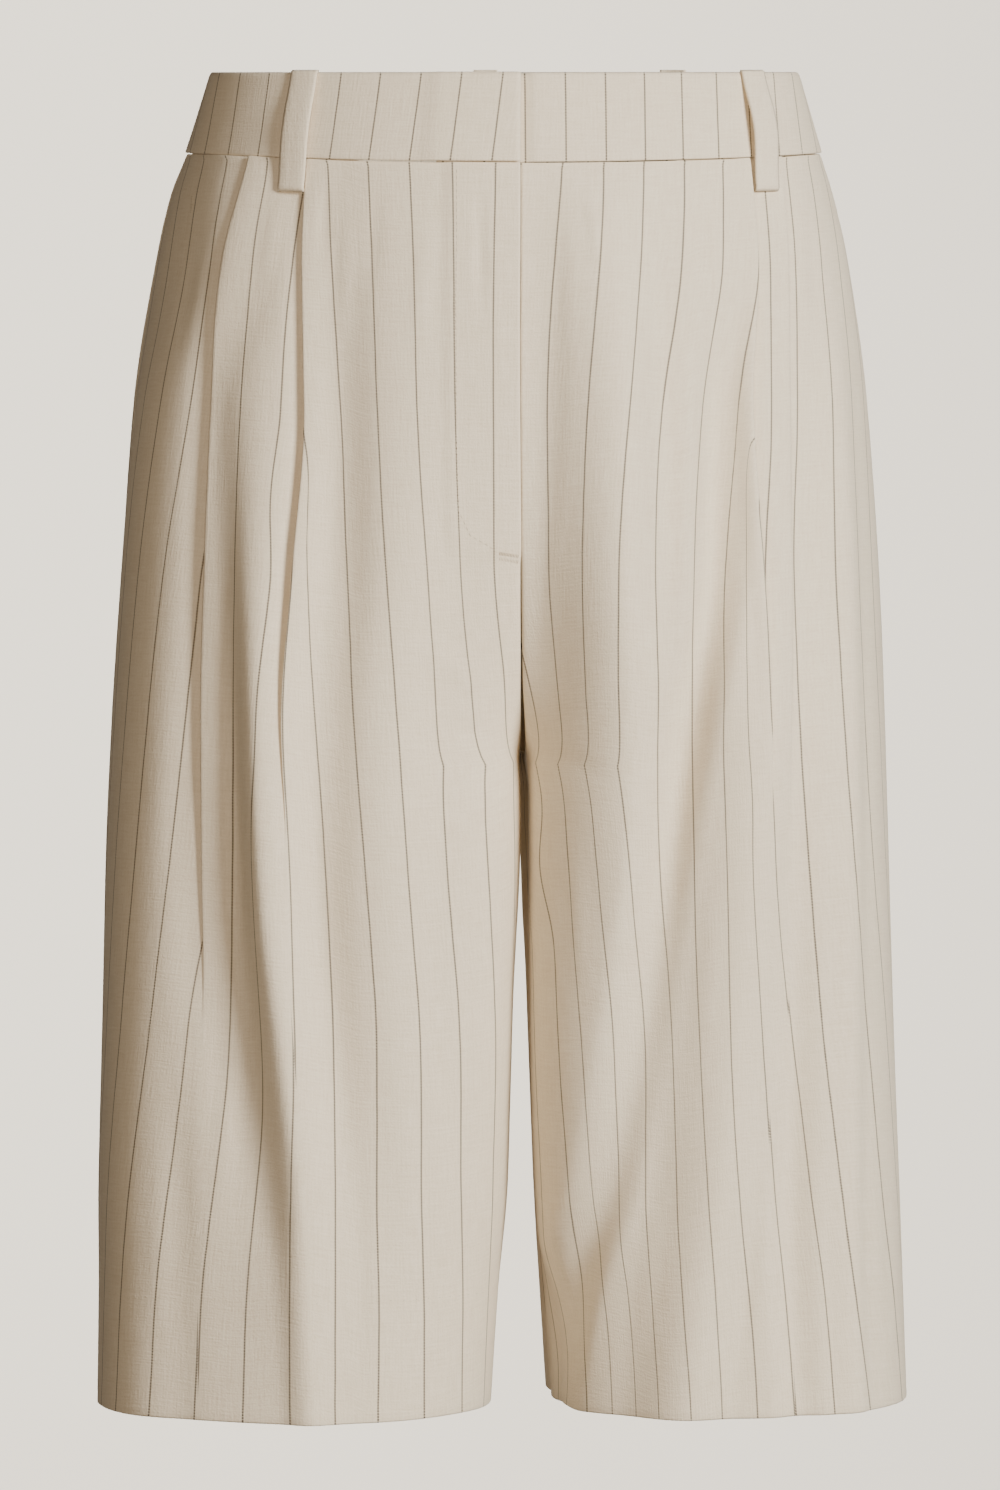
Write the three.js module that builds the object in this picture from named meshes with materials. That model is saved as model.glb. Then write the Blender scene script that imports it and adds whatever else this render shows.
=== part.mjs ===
import * as THREE from 'three';

// Tailored bermuda shorts with two pleats on each front, shown filled out with nobody inside.
// Millimetres, +Z up, +X to the wearer's left, the front faces -Y. The origin is in the middle
// of the waist, halfway up the waistband.

// Driving sizes
const BAND_TOP = 20;
const BAND_SEAM = -20.4;
const BAND_SEAM_RISE = 3.4;
const BAND_SEAM_FADE = 80;
const CROTCH = -288;
const HEM = -582;
const HEM_TURN_UP = 50;
const HEM_RISE = 2;
const HEM_RISE_FADE = 80;
const CLOTH = 1.6;
const HEM_CLOTH = 2.8;
const BAND_CLOTH = 2.6;
const BAND_PROUD = 1;
const SEAM_GAP = 0.3;
const EDGE_FADE = 16;
const LIP_APART = -0.4;
const LIP_OVER = 0.9;
const LIP_FULL_STEP = 2.5;

// The form at each level: half widths at the wearer's right and left side, depth of the front
// and the back from the side seams, and how round the section is (1 is an ellipse).
const FORM = [
  { z: 20, right: 133, left: 133, front: 84, back: 92, round: 1 },
  { z: -18, right: 145, left: 144, front: 97, back: 104, round: 0.97 },
  { z: -36, right: 153.5, left: 149.5, front: 102, back: 110, round: 0.95 },
  { z: -65, right: 160.5, left: 156, front: 108, back: 121, round: 0.93 },
  { z: -130, right: 170.5, left: 165, front: 116, back: 137, round: 0.84 },
  { z: -220, right: 176, left: 170.5, front: 120, back: 141, round: 0.74 },
  { z: -310, right: 180, left: 173, front: 119, back: 128, round: 0.66 },
  { z: -400, right: 182, left: 175.5, front: 113, back: 117, round: 0.62 },
  { z: -490, right: 184, left: 179, front: 107, back: 110, round: 0.62 },
  { z: -582, right: 185, left: 182, front: 102, back: 105, round: 0.64 },
];

// The middle: where the front and the back centre seam lie, and half the gap between the legs
const MIDDLE = [
  { z: 20, front: -1, back: 0, gap: 0.15 },
  { z: -18, front: -2.4, back: 0, gap: 0.15 },
  { z: -130, front: -4.3, back: 0.3, gap: 0.15 },
  { z: -200, front: -3.9, back: 0.5, gap: 0.15 },
  { z: -250, front: -2.2, back: 0.5, gap: 0.2 },
  { z: -288, front: 1, back: 1, gap: 1 },
  { z: -315, front: 2.4, back: 2.4, gap: 2.8 },
  { z: -343, front: 3.2, back: 3.2, gap: 4 },
  { z: -400, front: 3.6, back: 3.6, gap: 5.4 },
  { z: -440, front: 4, back: 4, gap: 6.3 },
  { z: -480, front: 4.3, back: 4.3, gap: 7 },
  { z: -530, front: 3.6, back: 3.6, gap: 10 },
  { z: -582, front: 3.7, back: 3.7, gap: 12.7 },
];

// How round the front is at each leg's inner side: 1 is an ellipse, and less is squarer
const INNER_ROUND = [
  { z: -18, right: 0.97, left: 0.97 },
  { z: -130, right: 0.7, left: 0.7 },
  { z: -220, right: 0.45, left: 0.52 },
  { z: -310, right: 0.26, left: 0.5 },
  { z: -400, right: 0.28, left: 0.72 },
  { z: -490, right: 0.4, left: 0.95 },
  { z: -582, right: 0.55, left: 1 },
];

// Where the centre seams start to curve under towards the crotch
const FRONT_CURVE_FROM = -100;
const BACK_CURVE_FROM = -70;
const CURVE_POWER = 1.5;

// Levels at which the pleats and folds below give their place and their height
const LEVELS = [-20, -65, -130, -200, -270, -345, -420, -480, -530, -582];

// Pleats: x of the folded edge, which faces the side seam, and the height of its step
const PLEATS = {
  front_right: [
    {
      name: 'pleat by the side',
      x: [-119.5, -130, -137.5, -142.5, -146, -146.5, -146, -146, -146, -146],
      step: [2, 3, 4.5, 5.5, 5, 2, 0, 0, 0, 0],
      toSide: 12,
      toMiddle: 16,
    },
    {
      name: 'pleat under the loop',
      x: [-96, -98.5, -98.5, -102, -104.5, -103, -98, -96, -95, -94],
      step: [2, 3, 5, 6, 2.5, 0, 0, 0, 0, 0],
      toSide: 11,
      toMiddle: 16,
    },
  ],
  front_left: [
    {
      name: 'pleat by the side',
      x: [119.5, 120.5, 120.5, 120, 119, 118, 118, 118, 120, 122],
      step: [2, 2, 2, 1.8, 1, 0, 0, 0, 0, 0],
      toSide: 12,
      toMiddle: 6,
    },
    {
      name: 'pleat under the loop',
      x: [103.5, 105.5, 101, 104, 107, 108, 108, 108, 108, 108],
      step: [2, 2.5, 4.5, 4, 1.5, 0, 0, 0, 0, 0],
      toSide: 9,
      toMiddle: 7,
    },
  ],
  back_right: [],
  back_left: [],
};

// Soft folds: x of the crest or trough, its height (a trough's is below 0) at each level, and
// how far it reaches towards the side seam and towards the middle
const FOLDS = {
  front_right: [
    {
      name: 'crest between the pleats, down to the hem',
      x: [-108, -112, -123, -124, -122, -117, -108, -101, -98, -96],
      height: [0, 1, 4, 6, 8, 9, 9, 8, 5, 5],
      toSide: 15,
      toMiddle: 26,
    },
    {
      name: 'trough outside it',
      x: [-124, -126, -130, -133, -134.5, -134, -129, -122, -116, -110],
      height: [0, 0, -1, -3, -6, -8, -7.5, -4, -2, -2],
      toSide: 28,
      toMiddle: 16,
    },
    {
      name: 'broad swell of the crest towards the hem',
      x: [-96, -96, -96, -96, -96, -96, -96, -96, -96, -95],
      height: [0, 0, 0, 0, 0, 0, 1, 5, 9, 10],
      toSide: 45,
      toMiddle: 60,
    },
    {
      name: 'crest by the side',
      x: [-150, -152, -156, -160, -165, -166, -166, -165, -164, -162],
      height: [0, 1, 2.5, 3.5, 4.5, 5, 4, 2.5, 1.5, 1],
      toSide: 20,
      toMiddle: 14,
    },
    {
      name: 'trough inside the pleats',
      x: [-84, -85, -86, -87, -93, -96, -91, -88, -87, -86],
      height: [0, -1, -3, -4, -4, -5, -4, -3, -3, -3],
      toSide: 20,
      toMiddle: 20,
    },
    {
      name: 'broad crest down the front',
      x: [-56, -57, -57, -58, -65, -68, -66, -64, -65, -66],
      height: [0, 1, 2, 3, 4, 4, 4, 4, 3, 3],
      toSide: 24,
      toMiddle: 30,
    },
  ],
  front_left: [
    {
      name: 'crest beside the fly, which dies out down the inner leg',
      x: [34, 36, 38, 39, 42, 42, 36, 32, 28, 24],
      height: [0, 4, 13, 16, 14, 11, 9, 3, 0, 0],
      toSide: 26,
      toMiddle: 40,
    },
    {
      name: 'low crest inside the pleats',
      x: [70, 71, 73, 70, 66, 60, 60, 60, 60, 60],
      height: [0, 1, 2, 2, 1, 0, 0, 0, 0, 0],
      toSide: 16,
      toMiddle: 16,
    },
    {
      name: 'long trough from the pleats down to the inner hem',
      x: [92, 94, 86, 79, 70, 57, 46, 36, 20, 12],
      height: [0, 0, -6, -10, -10, -8, -7.5, -8, -9, -7],
      toSide: 16,
      toMiddle: 18,
    },
    {
      name: 'long crest outside it',
      x: [98, 98, 98, 99, 100, 95, 88, 84, 76, 71],
      height: [0, 0, 0, 1, 4, 6, 7, 9, 11, 11],
      toSide: 24,
      toMiddle: 30,
    },
    {
      name: 'trough by the side',
      x: [127, 128, 127, 127, 124, 122, 121, 120, 121, 124],
      height: [0, 0, -2, -3.5, -3.5, -4, -5, -5.5, -5, -4],
      toSide: 14,
      toMiddle: 15,
    },
    {
      name: 'crest by the side',
      x: [140, 143, 145, 146, 146, 146, 146, 146, 147, 150],
      height: [0, 0, 2, 3, 3, 3, 3, 3, 3, 3],
      toSide: 10,
      toMiddle: 12,
    },
  ],
  back_right: [
    {
      name: 'dart',
      x: [-56, -57, -58, -58, -58, -58, -58, -58, -58, -58],
      height: [-1.5, -1.2, 0, 0, 0, 0, 0, 0, 0, 0],
      toSide: 7,
      toMiddle: 7,
    },
    {
      name: 'crest below the seat',
      x: [-50, -52, -54, -55, -58, -60, -60, -58, -55, -52],
      height: [0, 0, 0, 0, 3, 6, 6, 6, 6, 6],
      toSide: 22,
      toMiddle: 26,
    },
    {
      name: 'trough down the back',
      x: [-86, -86, -88, -90, -92, -92, -90, -88, -86, -84],
      height: [0, 0, 0, -1, -4, -7, -7, -6, -6, -6],
      toSide: 20,
      toMiddle: 20,
    },
    {
      name: 'crest towards the side',
      x: [-118, -118, -120, -122, -122, -120, -118, -116, -116, -116],
      height: [0, 0, 1, 3, 5, 6, 6, 6, 5, 5],
      toSide: 20,
      toMiddle: 18,
    },
    {
      name: 'trough by the side',
      x: [-140, -142, -146, -148, -148, -147, -146, -146, -147, -148],
      height: [0, 0, 0, -2, -4, -5, -5, -4, -4, -4],
      toSide: 14,
      toMiddle: 16,
    },
  ],
  back_left: [
    {
      name: 'dart',
      x: [56, 57, 58, 58, 58, 58, 58, 58, 58, 58],
      height: [-1.5, -1.2, 0, 0, 0, 0, 0, 0, 0, 0],
      toSide: 7,
      toMiddle: 7,
    },
    {
      name: 'crest below the seat',
      x: [54, 55, 56, 58, 62, 66, 68, 68, 66, 62],
      height: [0, 0, 0, 1, 4, 6, 6, 5, 5, 5],
      toSide: 20,
      toMiddle: 26,
    },
    {
      name: 'trough down the back',
      x: [88, 88, 90, 92, 94, 96, 98, 98, 96, 94],
      height: [0, 0, 0, -2, -4, -6, -6, -6, -6, -6],
      toSide: 18,
      toMiddle: 22,
    },
    {
      name: 'crest towards the side',
      x: [120, 120, 120, 120, 122, 124, 126, 126, 124, 122],
      height: [0, 0, 1, 3, 4, 6, 7, 6, 5, 5],
      toSide: 18,
      toMiddle: 18,
    },
    {
      name: 'trough by the side',
      x: [140, 142, 144, 146, 148, 149, 150, 150, 150, 150],
      height: [0, 0, 0, -2, -3, -4, -4, -4, -4, -4],
      toSide: 14,
      toMiddle: 16,
    },
  ],
};

// Panels: which side and which half, a guide line down the panel, and the columns between the
// side seam, each pleat, the guide and the middle
const PANELS = {
  front_right: {
    side: -1,
    half: -1,
    guide: [-52, -52, -52, -53, -56, -58, -58, -58, -58, -58],
    columns: [10, 7, 7, 12],
  },
  front_left: {
    side: 1,
    half: -1,
    guide: [52, 52, 52, 53, 56, 58, 58, 58, 60, 62],
    columns: [10, 4, 8, 13],
  },
  back_right: {
    side: -1,
    half: 1,
    guide: [-52, -52, -52, -54, -57, -60, -60, -60, -60, -60],
    columns: [12, 10],
  },
  back_left: {
    side: 1,
    half: 1,
    guide: [52, 52, 52, 54, 57, 62, 64, 64, 64, 64],
    columns: [12, 10],
  },
};
const ROWS_ABOVE_CROTCH = 13;
const ROWS_CLOSE_UP = 0.55;
const ROWS_TO_TURN_UP = 8;

// Fly: the right front laps over the left, and a strip behind it closes the opening
const FLY_END = -198;
const FLY_WIDTH = 33;
const FLY_RAISE = 0.8;
const FLY_RAMP = 6;
const UNDERLAP_CLEAR = 0.8;
const UNDERLAP_COLUMNS = 6;
const UNDERLAP_ROWS = 12;

// Waistband: the right half laps over the end of the left half
const BAND_COLUMNS = 17;
const BAND_ROWS = 4;
const LAP_WIDTH = 36;
const LAP_RAISE = 1.2;
const LAP_RAMP = 10;
const LAP_CLEAR = 0.4;
const LAP_COLUMNS = 5;
const TUCK_FROM = 1;
const TUCK_RAMP = 4.5;

// Belt loops: x at the top and at the lower end, on the right or left front or back
const LOOPS = [
  { name: 'belt_loop_front_right', half: -1, top: -95, end: -103 },
  { name: 'belt_loop_front_left', half: -1, top: 106, end: 111 },
  { name: 'belt_loop_back_right', half: 1, top: -84, end: -88 },
  { name: 'belt_loop_back_left', half: 1, top: 84, end: 88 },
];
const CENTRE_LOOP = { name: 'belt_loop_centre_back', half: 1, top: 0, end: 0 };
const LOOP_WIDTH = 11;
const LOOP_CLOTH = 1.5;
const LOOP_CLEAR = 1.4;
const LOOP_BOW = 2.2;
const LOOP_END = -34;
const LOOP_ABOVE = 1;
const LOOP_ROWS = 9;
const LOOP_COLUMNS = 3;

const CREAM = new THREE.Color('#e2dacb');
const CREAM_DARK = new THREE.Color('#d8cdb9');

function smooth(t) {
  const s = THREE.MathUtils.clamp(t, 0, 1);
  return s * s * (3 - 2 * s);
}

// A smooth curve down the levels that never overshoots its values
function curve(levels, values) {
  const rates = values.slice(1).map((v, i) => (v - values[i]) / (levels[i + 1] - levels[i]));
  const slopes = values.map((v, i) => {
    const before = rates[Math.max(i - 1, 0)];
    const after = rates[Math.min(i, rates.length - 1)];
    return before * after <= 0 ? 0 : (2 * before * after) / (before + after);
  });
  return (z) => {
    let i = levels.findIndex((level) => level <= z) - 1;
    if (i < -1) i = levels.length - 2;
    i = THREE.MathUtils.clamp(i, 0, levels.length - 2);
    const step = levels[i + 1] - levels[i];
    const t = THREE.MathUtils.clamp((z - levels[i]) / step, 0, 1);
    const rest = 1 - t;
    return (
      values[i] * (1 + 2 * t) * rest * rest +
      values[i + 1] * (3 - 2 * t) * t * t +
      step * t * rest * (slopes[i] * rest - slopes[i + 1] * t)
    );
  };
}

// One curve for each named column of a table
function columnCurves(table) {
  const levels = table.map((row) => row.z);
  const names = Object.keys(table[0]).filter((name) => name !== 'z');
  return Object.fromEntries(
    names.map((name) => [name, curve(levels, table.map((row) => row[name]))]),
  );
}

const form = columnCurves(FORM);
const middle = columnCurves(MIDDLE);
const innerRound = columnCurves(INNER_ROUND);

function foldCurves(fold) {
  return { ...fold, at: curve(LEVELS, fold.x), tall: curve(LEVELS, fold.height ?? fold.step) };
}

const pleats = Object.fromEntries(
  Object.entries(PLEATS).map(([name, rows]) => [name, rows.map(foldCurves)]),
);
const folds = Object.fromEntries(
  Object.entries(FOLDS).map(([name, rows]) => [name, rows.map(foldCurves)]),
);

const guides = Object.fromEntries(
  Object.entries(PANELS).map(([name, { guide }]) => [name, curve(LEVELS, guide)]),
);

function middleX(side, half, z) {
  return (half < 0 ? middle.front(z) : middle.back(z)) + side * middle.gap(z);
}

function sideX(side, z) {
  return side < 0 ? -form.right(z) : form.left(z);
}

// Cosine of how far the section runs round from the side seam: 0 is a quarter turn to the
// centre seam, -1 is a half turn to the inseam.
function reachCosine(half, z) {
  const from = half < 0 ? FRONT_CURVE_FROM : BACK_CURVE_FROM;
  const t = THREE.MathUtils.clamp((from - z) / (from - CROTCH), 0, 1);
  return (1 - t * t) ** CURVE_POWER - 1;
}

function reach(half, z) {
  return Math.acos(reachCosine(half, z));
}

function roundness(side, half, turn, z) {
  if (half > 0 || turn <= Math.PI / 2) return form.round(z);
  return side < 0 ? innerRound.right(z) : innerRound.left(z);
}

// A point of the smooth form, with no folds. The turn is 0 at the side seam.
function formPoint(side, half, turn, z, seamGap = SEAM_GAP) {
  const inner = middleX(side, half, z);
  const end = reachCosine(half, z);
  const share = (Math.cos(turn) - end) / (1 - end);
  const depth = half < 0 ? form.front(z) : form.back(z);
  const out = depth * Math.max(Math.sin(turn), 0) ** roundness(side, half, turn, z);
  const x = inner + (sideX(side, z) - inner) * share;
  return new THREE.Vector3(x, half * (out + seamGap / 2), z);
}

// The turn at which the form passes a given x
function turnAt(side, half, x, z) {
  const inner = middleX(side, half, z);
  const end = reachCosine(half, z);
  const share = (x - inner) / (sideX(side, z) - inner);
  return Math.acos(THREE.MathUtils.clamp(share * (1 - end) + end, -1, 1));
}

// The outward direction of the smooth form
function formNormal(side, half, turn, z) {
  const d = 0.01;
  const t = THREE.MathUtils.clamp(turn, 2 * d, Math.PI - 2 * d);
  const across = formPoint(side, half, t + d, z).sub(formPoint(side, half, t - d, z));
  const along = formPoint(side, half, t, z + 1).sub(formPoint(side, half, t, z - 1));
  return across.cross(along).multiplyScalar(side * half).normalize();
}

// A rounded bump of height 1 at 0 and nothing from 1 on
function bump(t) {
  const s = Math.min(Math.abs(t), 1);
  return 0.5 + 0.5 * Math.cos(Math.PI * s);
}

// How far x lies from a fold's line, towards the middle, in that fold's own reach
function reachFrom(fold, side, x, z) {
  const away = (fold.at(z) - x) * side;
  return away / (away > 0 ? fold.toMiddle : fold.toSide);
}

// Height of the pleats and folds over the smooth form, in a segment of the columns. A segment
// lies over the pleats it has passed and under the others. Inside, the layers fill the steps.
function relief(name, x, z, segment, inside) {
  const { side } = PANELS[name];
  let height = 0;
  for (const fold of folds[name]) {
    height += fold.tall(z) * bump(reachFrom(fold, side, x, z));
  }
  pleats[name].forEach((pleat, i) => {
    const up = segment > i && !inside ? 1 : -1;
    height += 0.5 * up * pleat.tall(z) * bump(reachFrom(pleat, side, x, z));
  });
  return height;
}

// The folds die out at the seams, so that the panels meet there
function edgeFade(half, turn, z) {
  const radius = half < 0 ? form.front(z) : form.back(z);
  const fromSide = smooth((turn * radius) / EDGE_FADE);
  const fromMiddle = smooth(((reach(half, z) - turn) * radius) / EDGE_FADE);
  return fromSide * fromMiddle;
}

// The fly's facing makes the right front a little thicker beside the centre seam
function flyRaise(name, x, z) {
  if (name !== 'front_right') return 0;
  const within = FLY_WIDTH + FLY_RAMP / 2 - (middle.front(z) - x);
  return FLY_RAISE * smooth(within / FLY_RAMP) * smooth((z - FLY_END) / FLY_RAMP);
}

// Level of the waistband's seam, a little higher at the sides
function seamLevel(turn) {
  return BAND_SEAM + BAND_SEAM_RISE * Math.cos(turn) ** 2;
}

// How much higher than its row a point lies: the waist seam and the hem rise to the sides
function liftAt(turn, z) {
  const atSeam = (seamLevel(turn) - BAND_SEAM) * smooth(1 + (z - BAND_SEAM) / BAND_SEAM_FADE);
  const atHem = HEM_RISE * Math.cos(turn) ** 2 * smooth(1 - (z - HEM) / HEM_RISE_FADE);
  return atSeam + atHem;
}

function panelPair(name, { turn, segment }, z) {
  const { side, half } = PANELS[name];
  const level = z + liftAt(turn, z);
  const flat = formPoint(side, half, turn, level);
  const normal = formNormal(side, half, turn, level);
  const fade = edgeFade(half, turn, level);
  const rise = flyRaise(name, flat.x, level);
  const up = fade * relief(name, flat.x, level, segment, false) + rise;
  const cloth = z < HEM + HEM_TURN_UP ? HEM_CLOTH : CLOTH;
  const down = fade * relief(name, flat.x, level, segment, true) - cloth;
  return {
    outer: flat.clone().addScaledVector(normal, up),
    inner: flat.clone().addScaledVector(normal, down),
  };
}

// How far a pleat's folded edge reaches over the cloth beneath it
function lipOver(pleat, z) {
  return THREE.MathUtils.lerp(LIP_APART, LIP_OVER, smooth(pleat.tall(z) / LIP_FULL_STEP));
}

// A row's columns: even steps between the side seam, the pleats' edges, the guide and the middle
function rowColumns(name, z) {
  const { side, half, columns } = PANELS[name];
  const stops = [0];
  for (const pleat of pleats[name]) {
    const over = side * lipOver(pleat, z);
    stops.push(turnAt(side, half, pleat.at(z) - over, z));
    stops.push(turnAt(side, half, pleat.at(z) + over, z));
  }
  const guide = turnAt(side, half, guides[name](z), z);
  stops.push(guide, guide, reach(half, z));
  const row = [];
  columns.forEach((count, segment) => {
    const first = segment === columns.length - 1 ? 1 : 0;
    for (let k = first; k <= count; k += 1) {
      const turn = THREE.MathUtils.lerp(stops[2 * segment], stops[2 * segment + 1], k / count);
      row.push({ turn, segment });
    }
  });
  return row;
}

// Levels of a panel's rows: closer together where the seam curves under to the crotch
function rowLevels() {
  const top = BAND_SEAM - SEAM_GAP / 2;
  const levels = [];
  for (let i = 0; i <= ROWS_ABOVE_CROTCH; i += 1) {
    const even = i / ROWS_ABOVE_CROTCH;
    const part = THREE.MathUtils.lerp(even, Math.sin((Math.PI / 2) * even), ROWS_CLOSE_UP);
    levels.push(THREE.MathUtils.lerp(top, CROTCH, part));
  }
  const turnUp = HEM + HEM_TURN_UP;
  for (let i = 1; i <= ROWS_TO_TURN_UP; i += 1) {
    levels.push(THREE.MathUtils.lerp(CROTCH, turnUp + 1, i / ROWS_TO_TURN_UP));
  }
  levels.push(turnUp - 1, (turnUp + HEM) / 2, HEM);
  return levels;
}

// A closed wall of cloth from a grid of pairs, each an outer and an inner point
function wall(name, grid, colour) {
  const rows = grid.length;
  const columns = grid[0].length;
  const positions = [];
  for (const layer of ['outer', 'inner']) {
    for (const row of grid) {
      for (const pair of row) positions.push(...pair[layer].toArray());
    }
  }
  const at = (layer, row, column) => layer * rows * columns + row * columns + column;
  const faces = [];
  const quad = (a, b, c, d) => faces.push(a, b, c, a, c, d);
  for (let i = 0; i + 1 < rows; i += 1) {
    for (let j = 0; j + 1 < columns; j += 1) {
      quad(at(0, i, j), at(0, i + 1, j), at(0, i + 1, j + 1), at(0, i, j + 1));
      quad(at(1, i, j), at(1, i, j + 1), at(1, i + 1, j + 1), at(1, i + 1, j));
    }
  }
  for (let i = 0; i + 1 < rows; i += 1) {
    const last = columns - 1;
    quad(at(0, i, 0), at(1, i, 0), at(1, i + 1, 0), at(0, i + 1, 0));
    quad(at(0, i, last), at(0, i + 1, last), at(1, i + 1, last), at(1, i, last));
  }
  for (let j = 0; j + 1 < columns; j += 1) {
    const last = rows - 1;
    quad(at(0, 0, j), at(0, 0, j + 1), at(1, 0, j + 1), at(1, 0, j));
    quad(at(0, last, j), at(1, last, j), at(1, last, j + 1), at(0, last, j + 1));
  }
  if (signedVolume(positions, faces) < 0) faces.reverse();
  const geometry = new THREE.BufferGeometry();
  geometry.setAttribute('position', new THREE.Float32BufferAttribute(positions, 3));
  geometry.setIndex(faces);
  geometry.computeVertexNormals();
  const material = new THREE.MeshStandardMaterial({ color: colour, roughness: 0.9, metalness: 0 });
  const mesh = new THREE.Mesh(geometry, material);
  mesh.name = name;
  return mesh;
}

function signedVolume(positions, faces) {
  const corner = (i) => new THREE.Vector3().fromArray(positions, 3 * i);
  let sum = 0;
  for (let i = 0; i < faces.length; i += 3) {
    const [a, b, c] = [corner(faces[i]), corner(faces[i + 1]), corner(faces[i + 2])];
    sum += a.dot(b.cross(c));
  }
  return sum;
}

function panel(name) {
  const grid = rowLevels().map((z) => rowColumns(name, z).map((column) => panelPair(name, column, z)));
  return wall(name, grid, CREAM);
}

// The strip behind the right front, sewn to the left front's edge
function flyUnderlap() {
  const top = BAND_SEAM - 1;
  const grid = [];
  for (let i = 0; i <= UNDERLAP_ROWS; i += 1) {
    const z = THREE.MathUtils.lerp(top, FLY_END, i / UNDERLAP_ROWS);
    const row = [];
    for (let j = 0; j <= UNDERLAP_COLUMNS; j += 1) {
      const back = THREE.MathUtils.lerp(SEAM_GAP, FLY_WIDTH, j / UNDERLAP_COLUMNS);
      const x = middleX(-1, -1, z) - back;
      const turn = turnAt(-1, -1, x, z);
      const flat = formPoint(-1, -1, turn, z);
      const normal = formNormal(-1, -1, turn, z);
      const height = edgeFade(-1, turn, z) * relief('front_right', x, z, 0, true);
      const outer = height - CLOTH - UNDERLAP_CLEAR;
      row.push({
        outer: flat.clone().addScaledVector(normal, outer),
        inner: flat.clone().addScaledVector(normal, outer - CLOTH),
      });
    }
    grid.push(row);
  }
  return wall('fly_underlap', grid, CREAM_DARK);
}

// A pair of the waistband's wall, at a turn and a share of its depth, moved out by a height
function bandPair(side, half, turn, part, height) {
  const bottom = seamLevel(turn) + SEAM_GAP / 2;
  const z = THREE.MathUtils.lerp(BAND_TOP, bottom, part);
  const flat = formPoint(side, half, turn, z, 0);
  const normal = formNormal(side, half, turn, z);
  return {
    outer: flat.clone().addScaledVector(normal, height),
    inner: flat.clone().addScaledVector(normal, height - BAND_CLOTH),
  };
}

// Columns of half a waistband from its front end round the side to the centre back
function bandColumns(side) {
  const columns = [];
  for (let j = 0; j < BAND_COLUMNS; j += 1) {
    columns.push({ half: -1, turn: (Math.PI / 2) * (1 - j / BAND_COLUMNS) });
  }
  for (let j = 0; j <= BAND_COLUMNS; j += 1) {
    columns.push({ half: 1, turn: (Math.PI / 2) * (j / BAND_COLUMNS) });
  }
  return columns.map((column) => ({ ...column, side }));
}

function bandHeight(side, half, turn) {
  if (half > 0) return BAND_PROUD;
  const x = Math.abs(formPoint(side, half, turn, 0).x - middle.front(0));
  if (side < 0) {
    return BAND_PROUD + LAP_RAISE * smooth((LAP_WIDTH + LAP_RAMP - x) / LAP_RAMP);
  }
  return THREE.MathUtils.lerp(lapUnder(), BAND_PROUD, smooth((x - TUCK_FROM) / TUCK_RAMP));
}

// The outer face of the left band's end, just behind the right band
function lapUnder() {
  return BAND_PROUD + LAP_RAISE - BAND_CLOTH - LAP_CLEAR;
}

function waistband(name, side) {
  const grid = [];
  for (let i = 0; i <= BAND_ROWS; i += 1) {
    const part = i / BAND_ROWS;
    const row = [];
    if (side > 0) {
      for (let j = 0; j < LAP_COLUMNS; j += 1) {
        const x = middle.front(0) - LAP_WIDTH * (1 - j / LAP_COLUMNS);
        row.push(bandPair(-1, -1, turnAt(-1, -1, x, 0), part, lapUnder()));
      }
      const bend = middle.front(0) + TUCK_FROM;
      row.push(bandPair(1, -1, turnAt(1, -1, bend, 0), part, lapUnder()));
      row.push(bandPair(1, -1, turnAt(1, -1, bend + TUCK_RAMP, 0), part, BAND_PROUD));
    }
    for (const { half, turn } of bandColumns(side)) {
      const hidden = side > 0 && half < 0 && formPoint(side, half, turn, 0).x < TUCK_RAMP + 2;
      if (!hidden) row.push(bandPair(side, half, turn, part, bandHeight(side, half, turn)));
    }
    grid.push(row);
  }
  return wall(name, grid, CREAM);
}

// A belt loop: a strip down the waistband that bows out between its sewn ends
function beltLoop({ name, half, top, end }) {
  const side = top < 0 ? -1 : 1;
  const grid = [];
  for (let i = 0; i <= LOOP_ROWS; i += 1) {
    const part = i / LOOP_ROWS;
    const z = THREE.MathUtils.lerp(BAND_TOP + LOOP_ABOVE, LOOP_END, part);
    const height = LOOP_CLEAR + LOOP_BOW * Math.sin(Math.PI * part) ** 2;
    const row = [];
    for (let j = 0; j <= LOOP_COLUMNS; j += 1) {
      const x = THREE.MathUtils.lerp(top, end, part) + LOOP_WIDTH * (j / LOOP_COLUMNS - 0.5);
      const columnSide = name === CENTRE_LOOP.name ? Math.sign(x || 1) : side;
      const turn = turnAt(columnSide, half, x, z);
      const flat = formPoint(columnSide, half, turn, z);
      const normal = formNormal(columnSide, half, turn, z);
      row.push({
        outer: flat.clone().addScaledVector(normal, height + LOOP_CLOTH),
        inner: flat.clone().addScaledVector(normal, height),
      });
    }
    grid.push(row);
  }
  return wall(name, grid, CREAM);
}

const shorts = new THREE.Group();
for (const name of Object.keys(PANELS)) shorts.add(panel(name));
shorts.add(flyUnderlap());
shorts.add(waistband('waistband_right', -1));
shorts.add(waistband('waistband_left', 1));
for (const loop of [...LOOPS, CENTRE_LOOP]) shorts.add(beltLoop(loop));

export default shorts;
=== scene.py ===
# %% [markdown]
# Pleated bermuda shorts in cream pinstripe cloth, worn shape, nobody inside.
# The CAD model gives walls of the right size. Here each wall is replaced by a finer sheet of
# cloth on the same form, so everything that shows is cloth: four panels with two pleats on each
# front, a waistband in two halves, a strip behind the fly and five belt loops.
# Lengths in the tables are millimetres, because a maker measures cloth in them.

# %% Load the frame
import math

import bmesh
import bpy
import numpy as np
from mathutils import Matrix, Vector


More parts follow.
